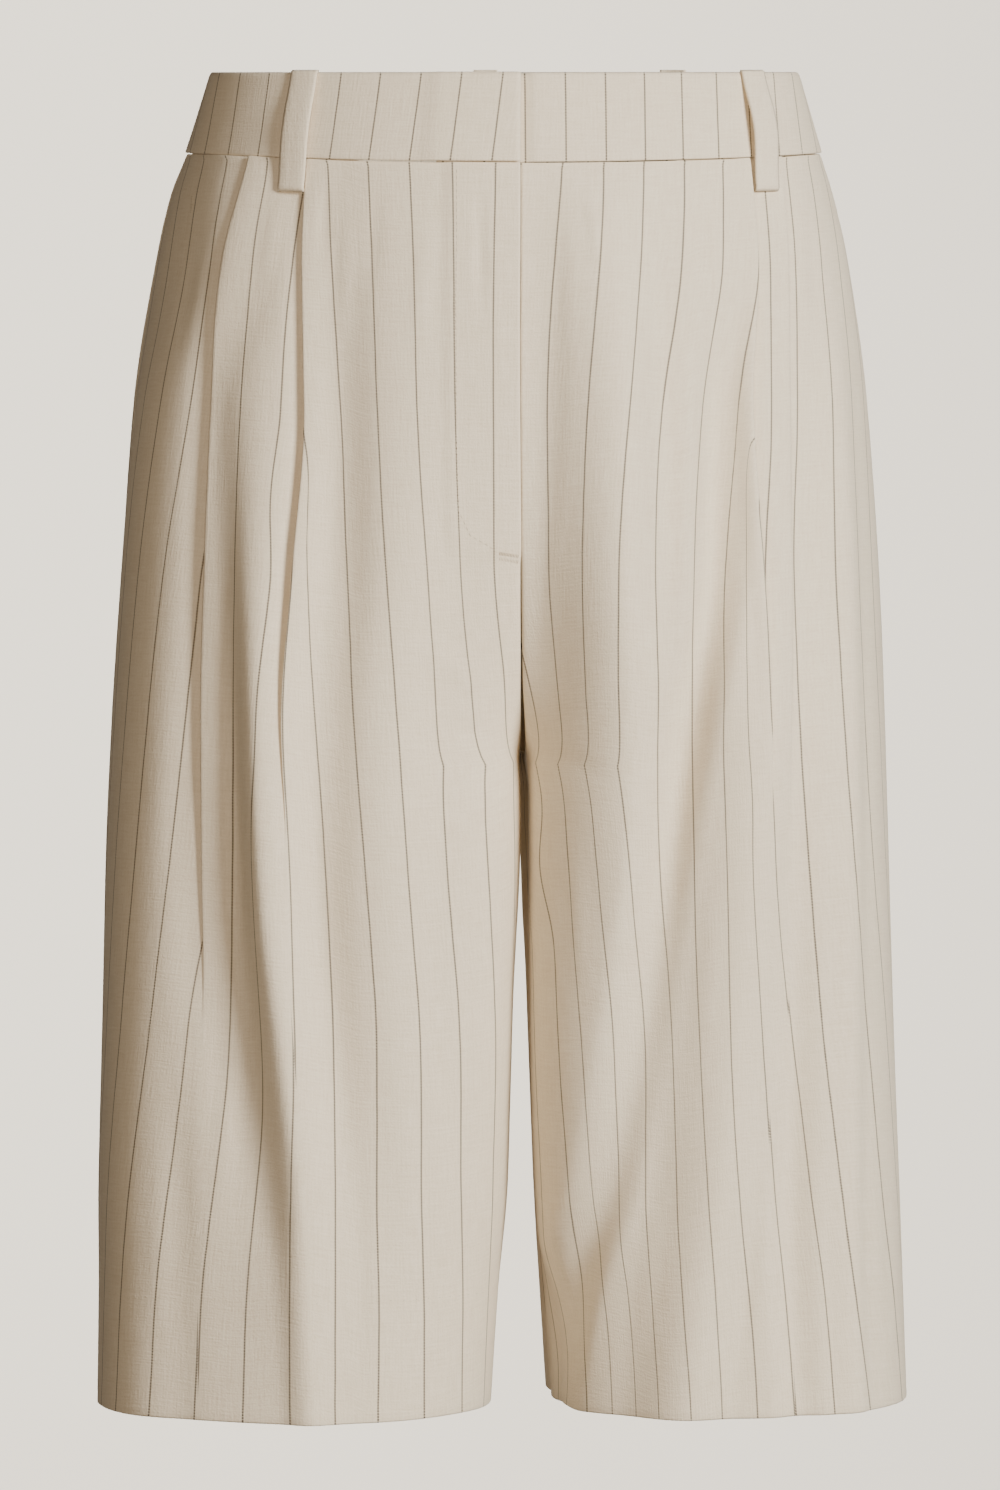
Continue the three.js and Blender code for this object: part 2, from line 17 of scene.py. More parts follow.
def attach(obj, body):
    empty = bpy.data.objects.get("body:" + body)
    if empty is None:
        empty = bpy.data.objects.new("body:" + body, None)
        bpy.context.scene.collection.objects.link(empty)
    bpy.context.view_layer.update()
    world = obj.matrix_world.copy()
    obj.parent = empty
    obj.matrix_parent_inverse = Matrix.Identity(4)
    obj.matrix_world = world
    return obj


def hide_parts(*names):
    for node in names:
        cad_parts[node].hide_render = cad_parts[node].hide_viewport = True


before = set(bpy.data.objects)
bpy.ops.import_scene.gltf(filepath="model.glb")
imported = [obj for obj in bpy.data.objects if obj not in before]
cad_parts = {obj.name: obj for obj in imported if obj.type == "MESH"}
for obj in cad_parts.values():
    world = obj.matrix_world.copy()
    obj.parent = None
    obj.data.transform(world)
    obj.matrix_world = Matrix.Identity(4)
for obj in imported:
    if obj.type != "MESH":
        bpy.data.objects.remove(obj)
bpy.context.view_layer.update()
MM = 0.001

# %% [markdown]
# The camera stands far back, level with the waistband and a little to the wearer's right, so the
# shorts look almost flat. A long lens does that; the shift keeps the eye at the waistband's
# height while the whole length is in the picture.

# %% Camera
PHOTO_WIDTH = 1000
PHOTO_HEIGHT = 1490
PIXELS_PER_METRE = 2200
EYE_PIXEL = (505, 72)
EYE_HEIGHT = 0.020
CAMERA_DISTANCE = 5.5
CAMERA_YAW = math.radians(5.5)
SENSOR = 24


def make_camera():
    camera = bpy.data.objects.new("camera", bpy.data.cameras.new("camera"))
    bpy.context.collection.objects.link(camera)
    camera.location = (
        -CAMERA_DISTANCE * math.sin(CAMERA_YAW),
        -CAMERA_DISTANCE * math.cos(CAMERA_YAW),
        EYE_HEIGHT,
    )
    camera.rotation_euler = (math.pi / 2, 0, -CAMERA_YAW)
    camera.data.sensor_fit = "VERTICAL"
    camera.data.sensor_height = SENSOR
    camera.data.lens = SENSOR * PIXELS_PER_METRE * CAMERA_DISTANCE / PHOTO_HEIGHT
    camera.data.shift_x = (PHOTO_WIDTH / 2 - EYE_PIXEL[0]) / PHOTO_HEIGHT
    camera.data.shift_y = (EYE_PIXEL[1] - PHOTO_HEIGHT / 2) / PHOTO_HEIGHT
    camera.data.clip_end = 100
    bpy.context.scene.camera = camera
    return camera


camera = make_camera()
print("camera", [round(c, 2) for c in camera.location], "lens", round(camera.data.lens, 1))

# %% [markdown]
# A colour is written as the hex value that a screen shows, and shaders want linear light, so one
# function turns it. Another small one adds a node with its settings and its links.


# %% Helpers for colours and nodes
def linear(hex_colour):
    values = [int(hex_colour[i : i + 2], 16) / 255 for i in (1, 3, 5)]
    light = [v / 12.92 if v <= 0.04045 else ((v + 0.055) / 1.055) ** 2.4 for v in values]
    return (*light, 1)


def add_node(tree, kind, inputs=None, **settings):
    node = tree.nodes.new(kind)
    for name, value in settings.items():
        setattr(node, name, value)
    for name, value in (inputs or {}).items():
        if isinstance(value, bpy.types.NodeSocket):
            tree.links.new(value, node.inputs[name])
        else:
            node.inputs[name].default_value = value
    return node


def new_material(name):
    material = bpy.data.materials.new(name)
    material.use_nodes = True
    return material, material.node_tree, material.node_tree.nodes["Principled BSDF"]


# %% [markdown]
# The studio is a pale paper sweep that runs from under the shorts up behind them. One large soft
# light stands high on the wearer's left, a weak warm one beside the camera lifts the depths of
# the folds, and two more behind light the paper and the back. The paper stands far off, so no
# light comes back from it to the cloth, and the outer edges stay dark.

# %% Studio
PAPER = "#e6e2d9"
SWEEP_FRONT = -7.0
SWEEP_BACK = 7.5
SWEEP_FLOOR = -1.5
SWEEP_TOP = 3.0
SWEEP_RADIUS = 1.6
SWEEP_WIDTH = 12.0
SWEEP_STEPS = 24
LIGHTS = [
    {
        "name": "key",
        "at": (2.5, -3.2, 1.1),
        "aim": (0, 0, -0.28),
        "size": 1.3,
        "watts": 290,
        "colour": "#fffefc",
    },
    {
        "name": "fill",
        "at": (-0.75, -4.4, 0.0),
        "aim": (0, 0, -0.28),
        "size": 1.2,
        "watts": 88,
        "colour": "#ffeedb",
    },
    {
        "name": "paper_light",
        "at": (0, 4.2, 1.9),
        "aim": (0, 7.4, -0.6),
        "size": 3.0,
        "watts": 460,
        "colour": "#fff9ef",
    },
    {
        "name": "back",
        "at": (0.8, 5.0, 1.2),
        "aim": (0, 0, -0.28),
        "size": 1.2,
        "watts": 110,
        "colour": "#fff1de",
    },
]
SKY = "#fae6c8"
SKY_STRENGTH = 0.08


def make_sweep():
    sweep = bmesh.new()
    path = [(SWEEP_FRONT, SWEEP_FLOOR)]
    for i in range(SWEEP_STEPS + 1):
        angle = math.pi / 2 * i / SWEEP_STEPS
        y = SWEEP_BACK - SWEEP_RADIUS + SWEEP_RADIUS * math.sin(angle)
        path.append((y, SWEEP_FLOOR + SWEEP_RADIUS - SWEEP_RADIUS * math.cos(angle)))
    path.append((SWEEP_BACK, SWEEP_TOP))
    corners = [sweep.verts.new((-SWEEP_WIDTH / 2, y, z)) for y, z in path]
    edges = [sweep.edges.new(pair) for pair in zip(corners, corners[1:])]
    made = bmesh.ops.extrude_edge_only(sweep, edges=edges)["geom"]
    across = [v for v in made if isinstance(v, bmesh.types.BMVert)]
    bmesh.ops.translate(sweep, verts=across, vec=(SWEEP_WIDTH, 0, 0))
    mesh = bpy.data.meshes.new("sweep")
    sweep.to_mesh(mesh)
    sweep.free()
    mesh.shade_smooth()
    piece = bpy.data.objects.new("sweep", mesh)
    bpy.context.collection.objects.link(piece)
    material, _, shader = new_material("matte background paper")
    shader.inputs["Base Color"].default_value = linear(PAPER)
    shader.inputs["Roughness"].default_value = 0.95
    shader.inputs["Specular IOR Level"].default_value = 0.1
    mesh.materials.append(material)
    piece.visible_diffuse = False
    return piece


def make_lights():
    for row in LIGHTS:
        light = bpy.data.lights.new(row["name"], "AREA")
        light.size = row["size"]
        light.energy = row["watts"]
        light.color = linear(row["colour"])[:3]
        lamp = bpy.data.objects.new(row["name"], light)
        lamp.location = row["at"]
        aim = Vector(row["aim"]) - lamp.location
        lamp.rotation_euler = aim.to_track_quat("-Z", "Y").to_euler()
        bpy.context.collection.objects.link(lamp)
    world = bpy.data.worlds.new("studio")
    world.use_nodes = True
    sky = world.node_tree.nodes["Background"]
    sky.inputs["Color"].default_value = linear(SKY)
    sky.inputs["Strength"].default_value = SKY_STRENGTH
    bpy.context.scene.world = world


make_sweep()
make_lights()
print("studio with", len(LIGHTS), "lights")

# %% [markdown]
# The cloth lies on the same form as the CAD walls, so the same tables stand here: half widths and
# depths at each level, where the centre seams lie, and the line and height of each pleat and
# fold. A curve through each column of a table gives the value at any level in between.

# %% Sizes of the shorts
BAND_TOP = 20
BAND_SEAM = -20.4
BAND_SEAM_RISE = 3.4
BAND_SEAM_FADE = 80
CROTCH = -288
HEM = -582
HEM_TURN_UP = 50
HEM_RISE = 2
HEM_RISE_FADE = 80
SEAM_GAP = 0.3
EDGE_FADE = 16
LIP_APART = -0.4
LIP_OVER = 0.9
LIP_FULL_STEP = 2.5

FORM = [
    {"z": 20, "right": 133, "left": 133, "front": 84, "back": 92, "round": 1},
    {"z": -18, "right": 145, "left": 144, "front": 97, "back": 104, "round": 0.97},
    {"z": -36, "right": 152, "left": 149.5, "front": 102, "back": 110, "round": 0.95},
    {"z": -65, "right": 158.5, "left": 156, "front": 108, "back": 121, "round": 0.93},
    {"z": -130, "right": 168.5, "left": 164.5, "front": 116, "back": 137, "round": 0.84},
    {"z": -220, "right": 174, "left": 169.5, "front": 120, "back": 141, "round": 0.74},
    {"z": -310, "right": 178, "left": 171.5, "front": 119, "back": 128, "round": 0.66},
    {"z": -400, "right": 180.5, "left": 174, "front": 113, "back": 117, "round": 0.62},
    {"z": -490, "right": 183, "left": 177.5, "front": 107, "back": 110, "round": 0.62},
    {"z": -582, "right": 184.5, "left": 181, "front": 102, "back": 105, "round": 0.64},
]

MIDDLE = [
    {"z": 20, "front": -1, "back": 0, "gap": 0.15},
    {"z": -18, "front": -2.4, "back": 0, "gap": 0.15},
    {"z": -130, "front": -4.3, "back": 0.3, "gap": 0.15},
    {"z": -200, "front": -3.9, "back": 0.5, "gap": 0.15},
    {"z": -250, "front": -2.2, "back": 0.5, "gap": 0.2},
    {"z": -288, "front": 1, "back": 1, "gap": 0.6},
    {"z": -315, "front": 2.4, "back": 2.4, "gap": 1.3},
    {"z": -343, "front": 3.2, "back": 3.2, "gap": 2.6},
    {"z": -400, "front": 3.6, "back": 3.6, "gap": 5.4},
    {"z": -440, "front": 4, "back": 4, "gap": 6.3},
    {"z": -480, "front": 4.3, "back": 4.3, "gap": 7},
    {"z": -530, "front": 3.6, "back": 3.6, "gap": 10},
    {"z": -582, "front": 3.7, "back": 3.7, "gap": 12.7},
]
# How round the front and the back are at each leg's inner side: 1 is an ellipse, and less is
# squarer.
INNER_ROUND = [
    {"z": -18, "right": 0.97, "left": 0.97, "back": 0.97},
    {"z": -130, "right": 0.7, "left": 0.7, "back": 0.84},
    {"z": -220, "right": 0.45, "left": 0.45, "back": 0.74},
    {"z": -310, "right": 0.26, "left": 0.22, "back": 0.85},
    {"z": -400, "right": 0.28, "left": 0.24, "back": 1.1},
    {"z": -490, "right": 0.4, "left": 0.32, "back": 1.1},
    {"z": -582, "right": 0.55, "left": 0.42, "back": 1},
]
# The left leg's inner side leans away behind its own front, so little of it shows, and its front
# stands nearer the right leg.
LEAN = 9
LEAN_TOP = -268
LEAN_FADE = 40
LEAN_DEPTH = 0.75
NEARER = [
    {"z": -288, "by": 0},
    {"z": -315, "by": 2.1},
    {"z": -343, "by": 4},
    {"z": -370, "by": 5.6},
    {"z": -410, "by": 6.2},
    {"z": -500, "by": 5.4},
    {"z": -582, "by": 4},
]
CURVE_FROM = {-1: -100, 1: -70}
CURVE_POWER = 1.5

LEVELS = [-20, -65, -130, -200, -270, -345, -420, -480, -530, -582]


def smooth(t):
    s = np.clip(t, 0, 1)
    return s * s * (3 - 2 * s)


def mix(a, b, t):
    return a + (b - a) * t


def curve(levels, values):
    levels = np.array(levels, float)
    values = np.array(values, float)
    steps = np.diff(levels)
    rates = np.diff(values) / steps
    before = np.concatenate((rates[:1], rates))
    after = np.concatenate((rates, rates[-1:]))
    same = before * after > 0
    slopes = np.where(same, 2 * before * after / np.where(same, before + after, 1), 0)

    def at(z):
        i = np.clip(np.searchsorted(-levels, -np.asarray(z, float)) - 1, 0, len(steps) - 1)
        t = np.clip((z - levels[i]) / steps[i], 0, 1)
        rest = 1 - t
        bend = steps[i] * t * rest * (slopes[i] * rest - slopes[i + 1] * t)
        return (
            values[i] * (1 + 2 * t) * rest**2 + values[i + 1] * (3 - 2 * t) * t**2 + bend
        )

    return at


def column_curves(table):
    levels = [row["z"] for row in table]
    names = [name for name in table[0] if name != "z"]
    return {name: curve(levels, [row[name] for row in table]) for name in names}


form = column_curves(FORM)
middle = column_curves(MIDDLE)
inner_round = column_curves(INNER_ROUND)
nearer = column_curves(NEARER)["by"]
print("half width at the hip", float(form["right"](-220)), "mm")

# %% [markdown]
# A pleat is cloth folded over itself: its folded edge faces the side seam and stands above the
# cloth beneath by a step, which dies out down the leg.

# %% Pleats and folds
PLEATS = {
    "front_right": [
        {
            "x": [-119.5, -130, -137.5, -142.5, -146, -146.5, -146, -146, -146, -146],
            "step": [2, 3, 4.5, 5.5, 5, 2, 0, 0, 0, 0],
            "toSide": 12,
            "toMiddle": 16,
        },
        {
            "x": [-96, -98.5, -98.5, -104, -109.5, -108, -104, -100, -98, -96],
            "step": [2, 3, 5, 6, 2.5, 0, 0, 0, 0, 0],
            "toSide": 11,
            "toMiddle": 16,
        },
    ],
    "front_left": [
        {
            "x": [119.5, 120.5, 120.5, 120, 119, 118, 118, 118, 120, 122],
            "step": [2, 2, 2, 1.8, 1, 0, 0, 0, 0, 0],
            "toSide": 12,
            "toMiddle": 6,
        },
        {
            "x": [103.5, 105.5, 101, 104, 107, 108, 108, 108, 108, 108],
            "step": [2, 2.5, 4.5, 4, 1.5, 0, 0, 0, 0, 0],
            "toSide": 9,
            "toMiddle": 7,
        },
    ],
    "back_right": [],
    "back_left": [],
}

FOLDS = {
    "front_right": [
        {
            "name": "crest between the pleats, down to the hem",
            "x": [-108, -112, -123, -124, -122, -117, -108, -101, -98, -96],
            "height": [0, 1, 4, 6, 8, 9, 8.5, 7, 4, 3.5],
            "toSide": 15,
            "toMiddle": 26,
        },
        {
            "name": "trough outside it",
            "x": [-124, -126, -130, -133, -134.5, -134, -129, -122, -116, -110],
            "height": [0, 0, -1, -3, -6, -7, -6, -3, -1.5, -1.5],
            "toSide": 28,
            "toMiddle": 16,
        },
        {
            "name": "broad swell of the crest towards the hem",
            "x": [-96, -96, -96, -96, -96, -96, -96, -96, -96, -95],
            "height": [0, 0, 0, 0, 0, 0, 1, 4, 7, 7],
            "toSide": 45,
            "toMiddle": 60,
        },
        {
            "name": "crest by the side",
            "x": [-126, -132, -154, -165, -170, -172, -173, -174, -174, -174],
            "height": [2, 4, 4.5, 5, 6, 7, 7, 7, 6, 6],
            "toSide": 24,
            "toMiddle": 24,
        },
        {
            "name": "trough inside the pleats",
            "x": [-84, -85, -86, -87, -93, -96, -91, -88, -87, -86],
            "height": [0, -1, -3, -4, -4, -5, -4, -3, -3, -3],
            "toSide": 20,
            "toMiddle": 20,
        },
        {
            "name": "broad crest down the front",
            "x": [-56, -57, -57, -58, -64, -64, -58, -52, -50, -50],
            "height": [0, 1, 2, 3, 4, 4, 3.5, 2.5, 1.5, 1.5],
            "toSide": 24,
            "toMiddle": 30,
        },
    ],
    "front_left": [
        {
            "name": "crest beside the fly, which dies out down the inner leg",
            "x": [34, 36, 38, 39, 42, 42, 36, 32, 28, 24],
            "height": [0, 7, 14, 16, 12, 9, 7, 3, 0, 0],
            "toSide": 26,
            "toMiddle": 40,
        },
        {
            "name": "low crest inside the pleats",
            "x": [70, 71, 73, 70, 66, 60, 60, 60, 60, 60],
            "height": [0, 1, 2, 2, 1, 0, 0, 0, 0, 0],
            "toSide": 16,
            "toMiddle": 16,
        },
        {
            "name": "long trough from the pleats down to the inner hem",
            "x": [92, 94, 88, 85, 71, 58, 47, 36, 20, 12],
            "height": [0, 0, -7, -10, -9, -7, -6, -6, -7, -5],
            "toSide": 16,
            "toMiddle": 18,
        },
        {
            "name": "long crest outside it",
            "x": [98, 98, 98, 99, 100, 95, 88, 84, 76, 71],
            "height": [0, 0, 0, 1, 4, 5, 5.5, 7, 8, 8],
            "toSide": 24,
            "toMiddle": 30,
        },
        {
            "name": "trough by the side",
            "x": [127, 128, 127, 127, 124, 122, 121, 120, 121, 124],
            "height": [0, 0, -2, -3.5, -3.5, -4, -5, -5.5, -5, -4],
            "toSide": 14,
            "toMiddle": 15,
        },
        {
            "name": "crest by the side",
            "x": [140, 143, 145, 146, 146, 146, 146, 146, 147, 150],
            "height": [0, 0, 2, 3, 3, 3, 3, 3, 3, 3],
            "toSide": 10,
            "toMiddle": 12,
        },
    ],
    "back_right": [
        {
            "name": "dart",
            "x": [-56, -57, -58, -58, -58, -58, -58, -58, -58, -58],
            "height": [-1.5, -1.2, 0, 0, 0, 0, 0, 0, 0, 0],
            "toSide": 7,
            "toMiddle": 7,
        },
        {
            "name": "crest below the seat",
            "x": [-50, -52, -54, -55, -58, -60, -60, -58, -55, -52],
            "height": [0, 0, 0, 0, 3, 6, 6, 6, 6, 6],
            "toSide": 22,
            "toMiddle": 26,
        },
        {
            "name": "trough down the back",
            "x": [-86, -86, -88, -90, -92, -92, -90, -88, -86, -84],
            "height": [0, 0, 0, -1, -4, -7, -7, -6, -6, -6],
            "toSide": 20,
            "toMiddle": 20,
        },
        {
            "name": "crest towards the side",
            "x": [-118, -118, -120, -122, -122, -120, -118, -116, -116, -116],
            "height": [0, 0, 1, 3, 5, 6, 6, 6, 5, 5],
            "toSide": 20,
            "toMiddle": 18,
        },
        {
            "name": "trough by the side",
            "x": [-140, -142, -146, -148, -148, -147, -146, -146, -147, -148],
            "height": [0, 0, 0, -2, -4, -5, -5, -4, -4, -4],
            "toSide": 14,
            "toMiddle": 16,
        },
    ],
    "back_left": [
        {
            "name": "dart",
            "x": [56, 57, 58, 58, 58, 58, 58, 58, 58, 58],
            "height": [-1.5, -1.2, 0, 0, 0, 0, 0, 0, 0, 0],
            "toSide": 7,
            "toMiddle": 7,
        },
        {
            "name": "crest below the seat",
            "x": [54, 55, 56, 58, 62, 66, 68, 68, 66, 62],
            "height": [0, 0, 0, 1, 4, 6, 6, 5, 5, 5],
            "toSide": 20,
            "toMiddle": 26,
        },
        {
            "name": "trough down the back",
            "x": [88, 88, 90, 92, 94, 96, 98, 98, 96, 94],
            "height": [0, 0, 0, -2, -4, -6, -6, -6, -6, -6],
            "toSide": 18,
            "toMiddle": 22,
        },
        {
            "name": "crest towards the side",
            "x": [120, 120, 120, 120, 122, 124, 126, 126, 124, 122],
            "height": [0, 0, 1, 3, 4, 6, 7, 6, 5, 5],
            "toSide": 18,
            "toMiddle": 18,
        },
        {
            "name": "trough by the side",
            "x": [140, 142, 144, 146, 148, 149, 150, 150, 150, 150],
            "height": [0, 0, 0, -2, -3, -4, -4, -4, -4, -4],
            "toSide": 14,
            "toMiddle": 16,
        },
    ],
}


def with_curves(row):
    made = dict(row, at=curve(LEVELS, row["x"]))
    made["tall"] = curve(LEVELS, row["height"] if "height" in row else row["step"])
    return made


pleats = {name: [with_curves(row) for row in rows] for name, rows in PLEATS.items()}
folds = {name: [with_curves(row) for row in rows] for name, rows in FOLDS.items()}
print("pleats", {name: len(rows) for name, rows in pleats.items()})

# %% [markdown]
# A point of the form is given by a level and a turn, the angle round from the side seam. Above
# the crotch a half section ends at the centre seam, and below it closes round the leg to the
# inseam. Folds move the point along the outward direction.


# %% The form
def middle_x(side, half, z):
    line = middle["front"] if half < 0 else middle["back"]
    return line(z) + side * middle["gap"](z)


def side_x(side, z):
    return -form["right"](z) if side < 0 else form["left"](z)


def reach_cosine(half, z):
    start = CURVE_FROM[half]
    t = np.clip((start - z) / (start - CROTCH), 0, 1)
    return (1 - t * t) ** CURVE_POWER - 1


def reach(half, z):
    return np.arccos(reach_cosine(half, z))


def form_point(side, half, turn, z, seam_gap=SEAM_GAP):
    inner = middle_x(side, half, z)
    end = reach_cosine(half, z)
    share = (np.cos(turn) - end) / (1 - end)
    depth = form["front"](z) if half < 0 else form["back"](z)
    power = form["round"](z)
    word = "back" if half > 0 else "right" if side < 0 else "left"
    power = np.where(turn > math.pi / 2, inner_round[word](z), power)
    out = depth * np.maximum(np.sin(turn), 0) ** power
    x = inner + (side_x(side, z) - inner) * share
    if side > 0:
        inside = np.where(turn > math.pi / 2, 1 - out / (LEAN_DEPTH * depth), 0)
        x = x + LEAN * smooth((LEAN_TOP - z) / LEAN_FADE) * np.clip(inside, 0, 1)
        x = x - nearer(z) * np.clip(1 - 2 * share, 0, 1) ** 2
    return np.stack(np.broadcast_arrays(x, half * (out + seam_gap / 2), z), axis=-1)


def turn_at(side, half, x, z):
    inner = middle_x(side, half, z)
    end = reach_cosine(half, z)
    share = (x - inner) / (side_x(side, z) - inner)
    return np.arccos(np.clip(share * (1 - end) + end, -1, 1))


def form_normal(side, half, turn, z):
    d = 0.01
    t = np.clip(turn, 2 * d, math.pi - 2 * d)
    across = form_point(side, half, t + d, z) - form_point(side, half, t - d, z)
    along = form_point(side, half, t, z + 1) - form_point(side, half, t, z - 1)
    normal = np.cross(across, along) * side * half
    return normal / np.linalg.norm(normal, axis=-1, keepdims=True)


def bump(t):
    return 0.5 + 0.5 * np.cos(math.pi * np.minimum(np.abs(t), 1))


def reach_from(fold, side, x, z):
    away = (fold["at"](z) - x) * side
    return away / np.where(away > 0, fold["toMiddle"], fold["toSide"])


print("front at the hip", form_point(-1, -1, math.pi / 2, -220.0).round(1), "mm")

# %% [markdown]
# Each panel is a grid: rows down the leg, columns round it. Columns crowd together at a pleat's
# folded edge so that it stays crisp, and follow a guide line lower down so that they fan evenly.
# The rows go on round the hem and 50 mm up inside, as the turned-up cloth does.

# %% Panels' layout
PANELS = {
    "front_right": {
        "side": -1,
        "half": -1,
        "guide": [-52, -52, -52, -53, -56, -58, -58, -58, -58, -58],
        "columns": [34, 26, 30, 42],
    },
    "front_left": {
        "side": 1,
        "half": -1,
        "guide": [52, 52, 52, 53, 56, 58, 58, 58, 60, 62],
        "columns": [38, 16, 34, 44],
    },
    "back_right": {
        "side": -1,
        "half": 1,
        "guide": [-52, -52, -52, -54, -57, -60, -60, -60, -60, -60],
        "columns": [60, 50],
    },
    "back_left": {
        "side": 1,
        "half": 1,
        "guide": [52, 52, 52, 54, 57, 62, 64, 64, 64, 64],
        "columns": [60, 50],
    },
}
ROWS_DOWN = 150
CROWDING = 1.7
HEM_RADIUS = 0.95
HEM_BEND_STEPS = 6
TURN_UP_ROWS = 12
SEAM_ROLL = 0.35
SEAM_ROLL_WIDTH = 2.4
LIP_ROUND = 0.9
# The top edge turns in and up behind the waistband, so no light comes through the seam.
TURNED_IN = [1.9, 1.9]
TURNED_UP = [1.6, 0.04]
TURNED_CLEAR = 48
TURNED_RAMP = 10
FLY_END = -198
FLY_WIDTH = 33
FLY_RAISE = 0.8
FLY_RAMP = 6


def seam_level(turn):
    return BAND_SEAM + BAND_SEAM_RISE * np.cos(turn) ** 2


def crowded(count, at_start, at_end):
    t = np.linspace(0, 1, count + 1)
    if at_start and at_end:
        return np.where(t < 0.5, 0.5 * (2 * t) ** CROWDING, 1 - 0.5 * (2 - 2 * t) ** CROWDING)
    if at_start:
        return t**CROWDING
    if at_end:
        return 1 - (1 - t) ** CROWDING
    return t


def panel_rows():
    top = BAND_SEAM - SEAM_GAP / 2
    turned = [top] * len(TURNED_IN)
    start = turned + [top - SEAM_ROLL_WIDTH * k / 3 for k in range(3)]
    down = np.linspace(start[-1] - SEAM_ROLL_WIDTH / 3, HEM + HEM_RADIUS, ROWS_DOWN)
    levels = [*start, *down]
    sinks = [0] * len(levels)
    for k in range(1, HEM_BEND_STEPS + 1):
        angle = math.pi * k / HEM_BEND_STEPS
        levels.append(HEM + HEM_RADIUS * (1 - math.sin(angle)))
        sinks.append(-HEM_RADIUS * (1 - math.cos(angle)))
    for k in range(1, TURN_UP_ROWS + 1):
        levels.append(mix(HEM + HEM_RADIUS, HEM + HEM_TURN_UP, k / TURN_UP_ROWS))
        sinks.append(-2 * HEM_RADIUS)
    return np.array(levels)[:, None], np.array(sinks)[:, None]


def panel_columns(name, z):
    side, half = PANELS[name]["side"], PANELS[name]["half"]
    stops = [np.zeros_like(z)]
    for pleat in pleats[name]:
        full = smooth(pleat["tall"](z) / LIP_FULL_STEP)
        over = side * mix(LIP_APART, LIP_OVER, full)
        stops.append(turn_at(side, half, pleat["at"](z) - over, z))
        stops.append(turn_at(side, half, pleat["at"](z) + over, z))
    guide = turn_at(side, half, curve(LEVELS, PANELS[name]["guide"])(z), z)
    stops += [guide, guide, reach(half, z)]
    turns, segments = [], []
    counts = PANELS[name]["columns"]
    for segment, count in enumerate(counts):
        lips = len(pleats[name])
        shares = crowded(count, 0 < segment <= lips, segment < lips)
        if segment == len(counts) - 1:
            shares = shares[1:]
        turns.append(mix(stops[2 * segment], stops[2 * segment + 1], shares[None, :]))
        segments += [segment] * len(shares)
    return np.concatenate(turns, axis=1), np.array(segments)


levels, sinks = panel_rows()
print("rows", len(levels), "columns", {n: sum(p["columns"]) for n, p in PANELS.items()})
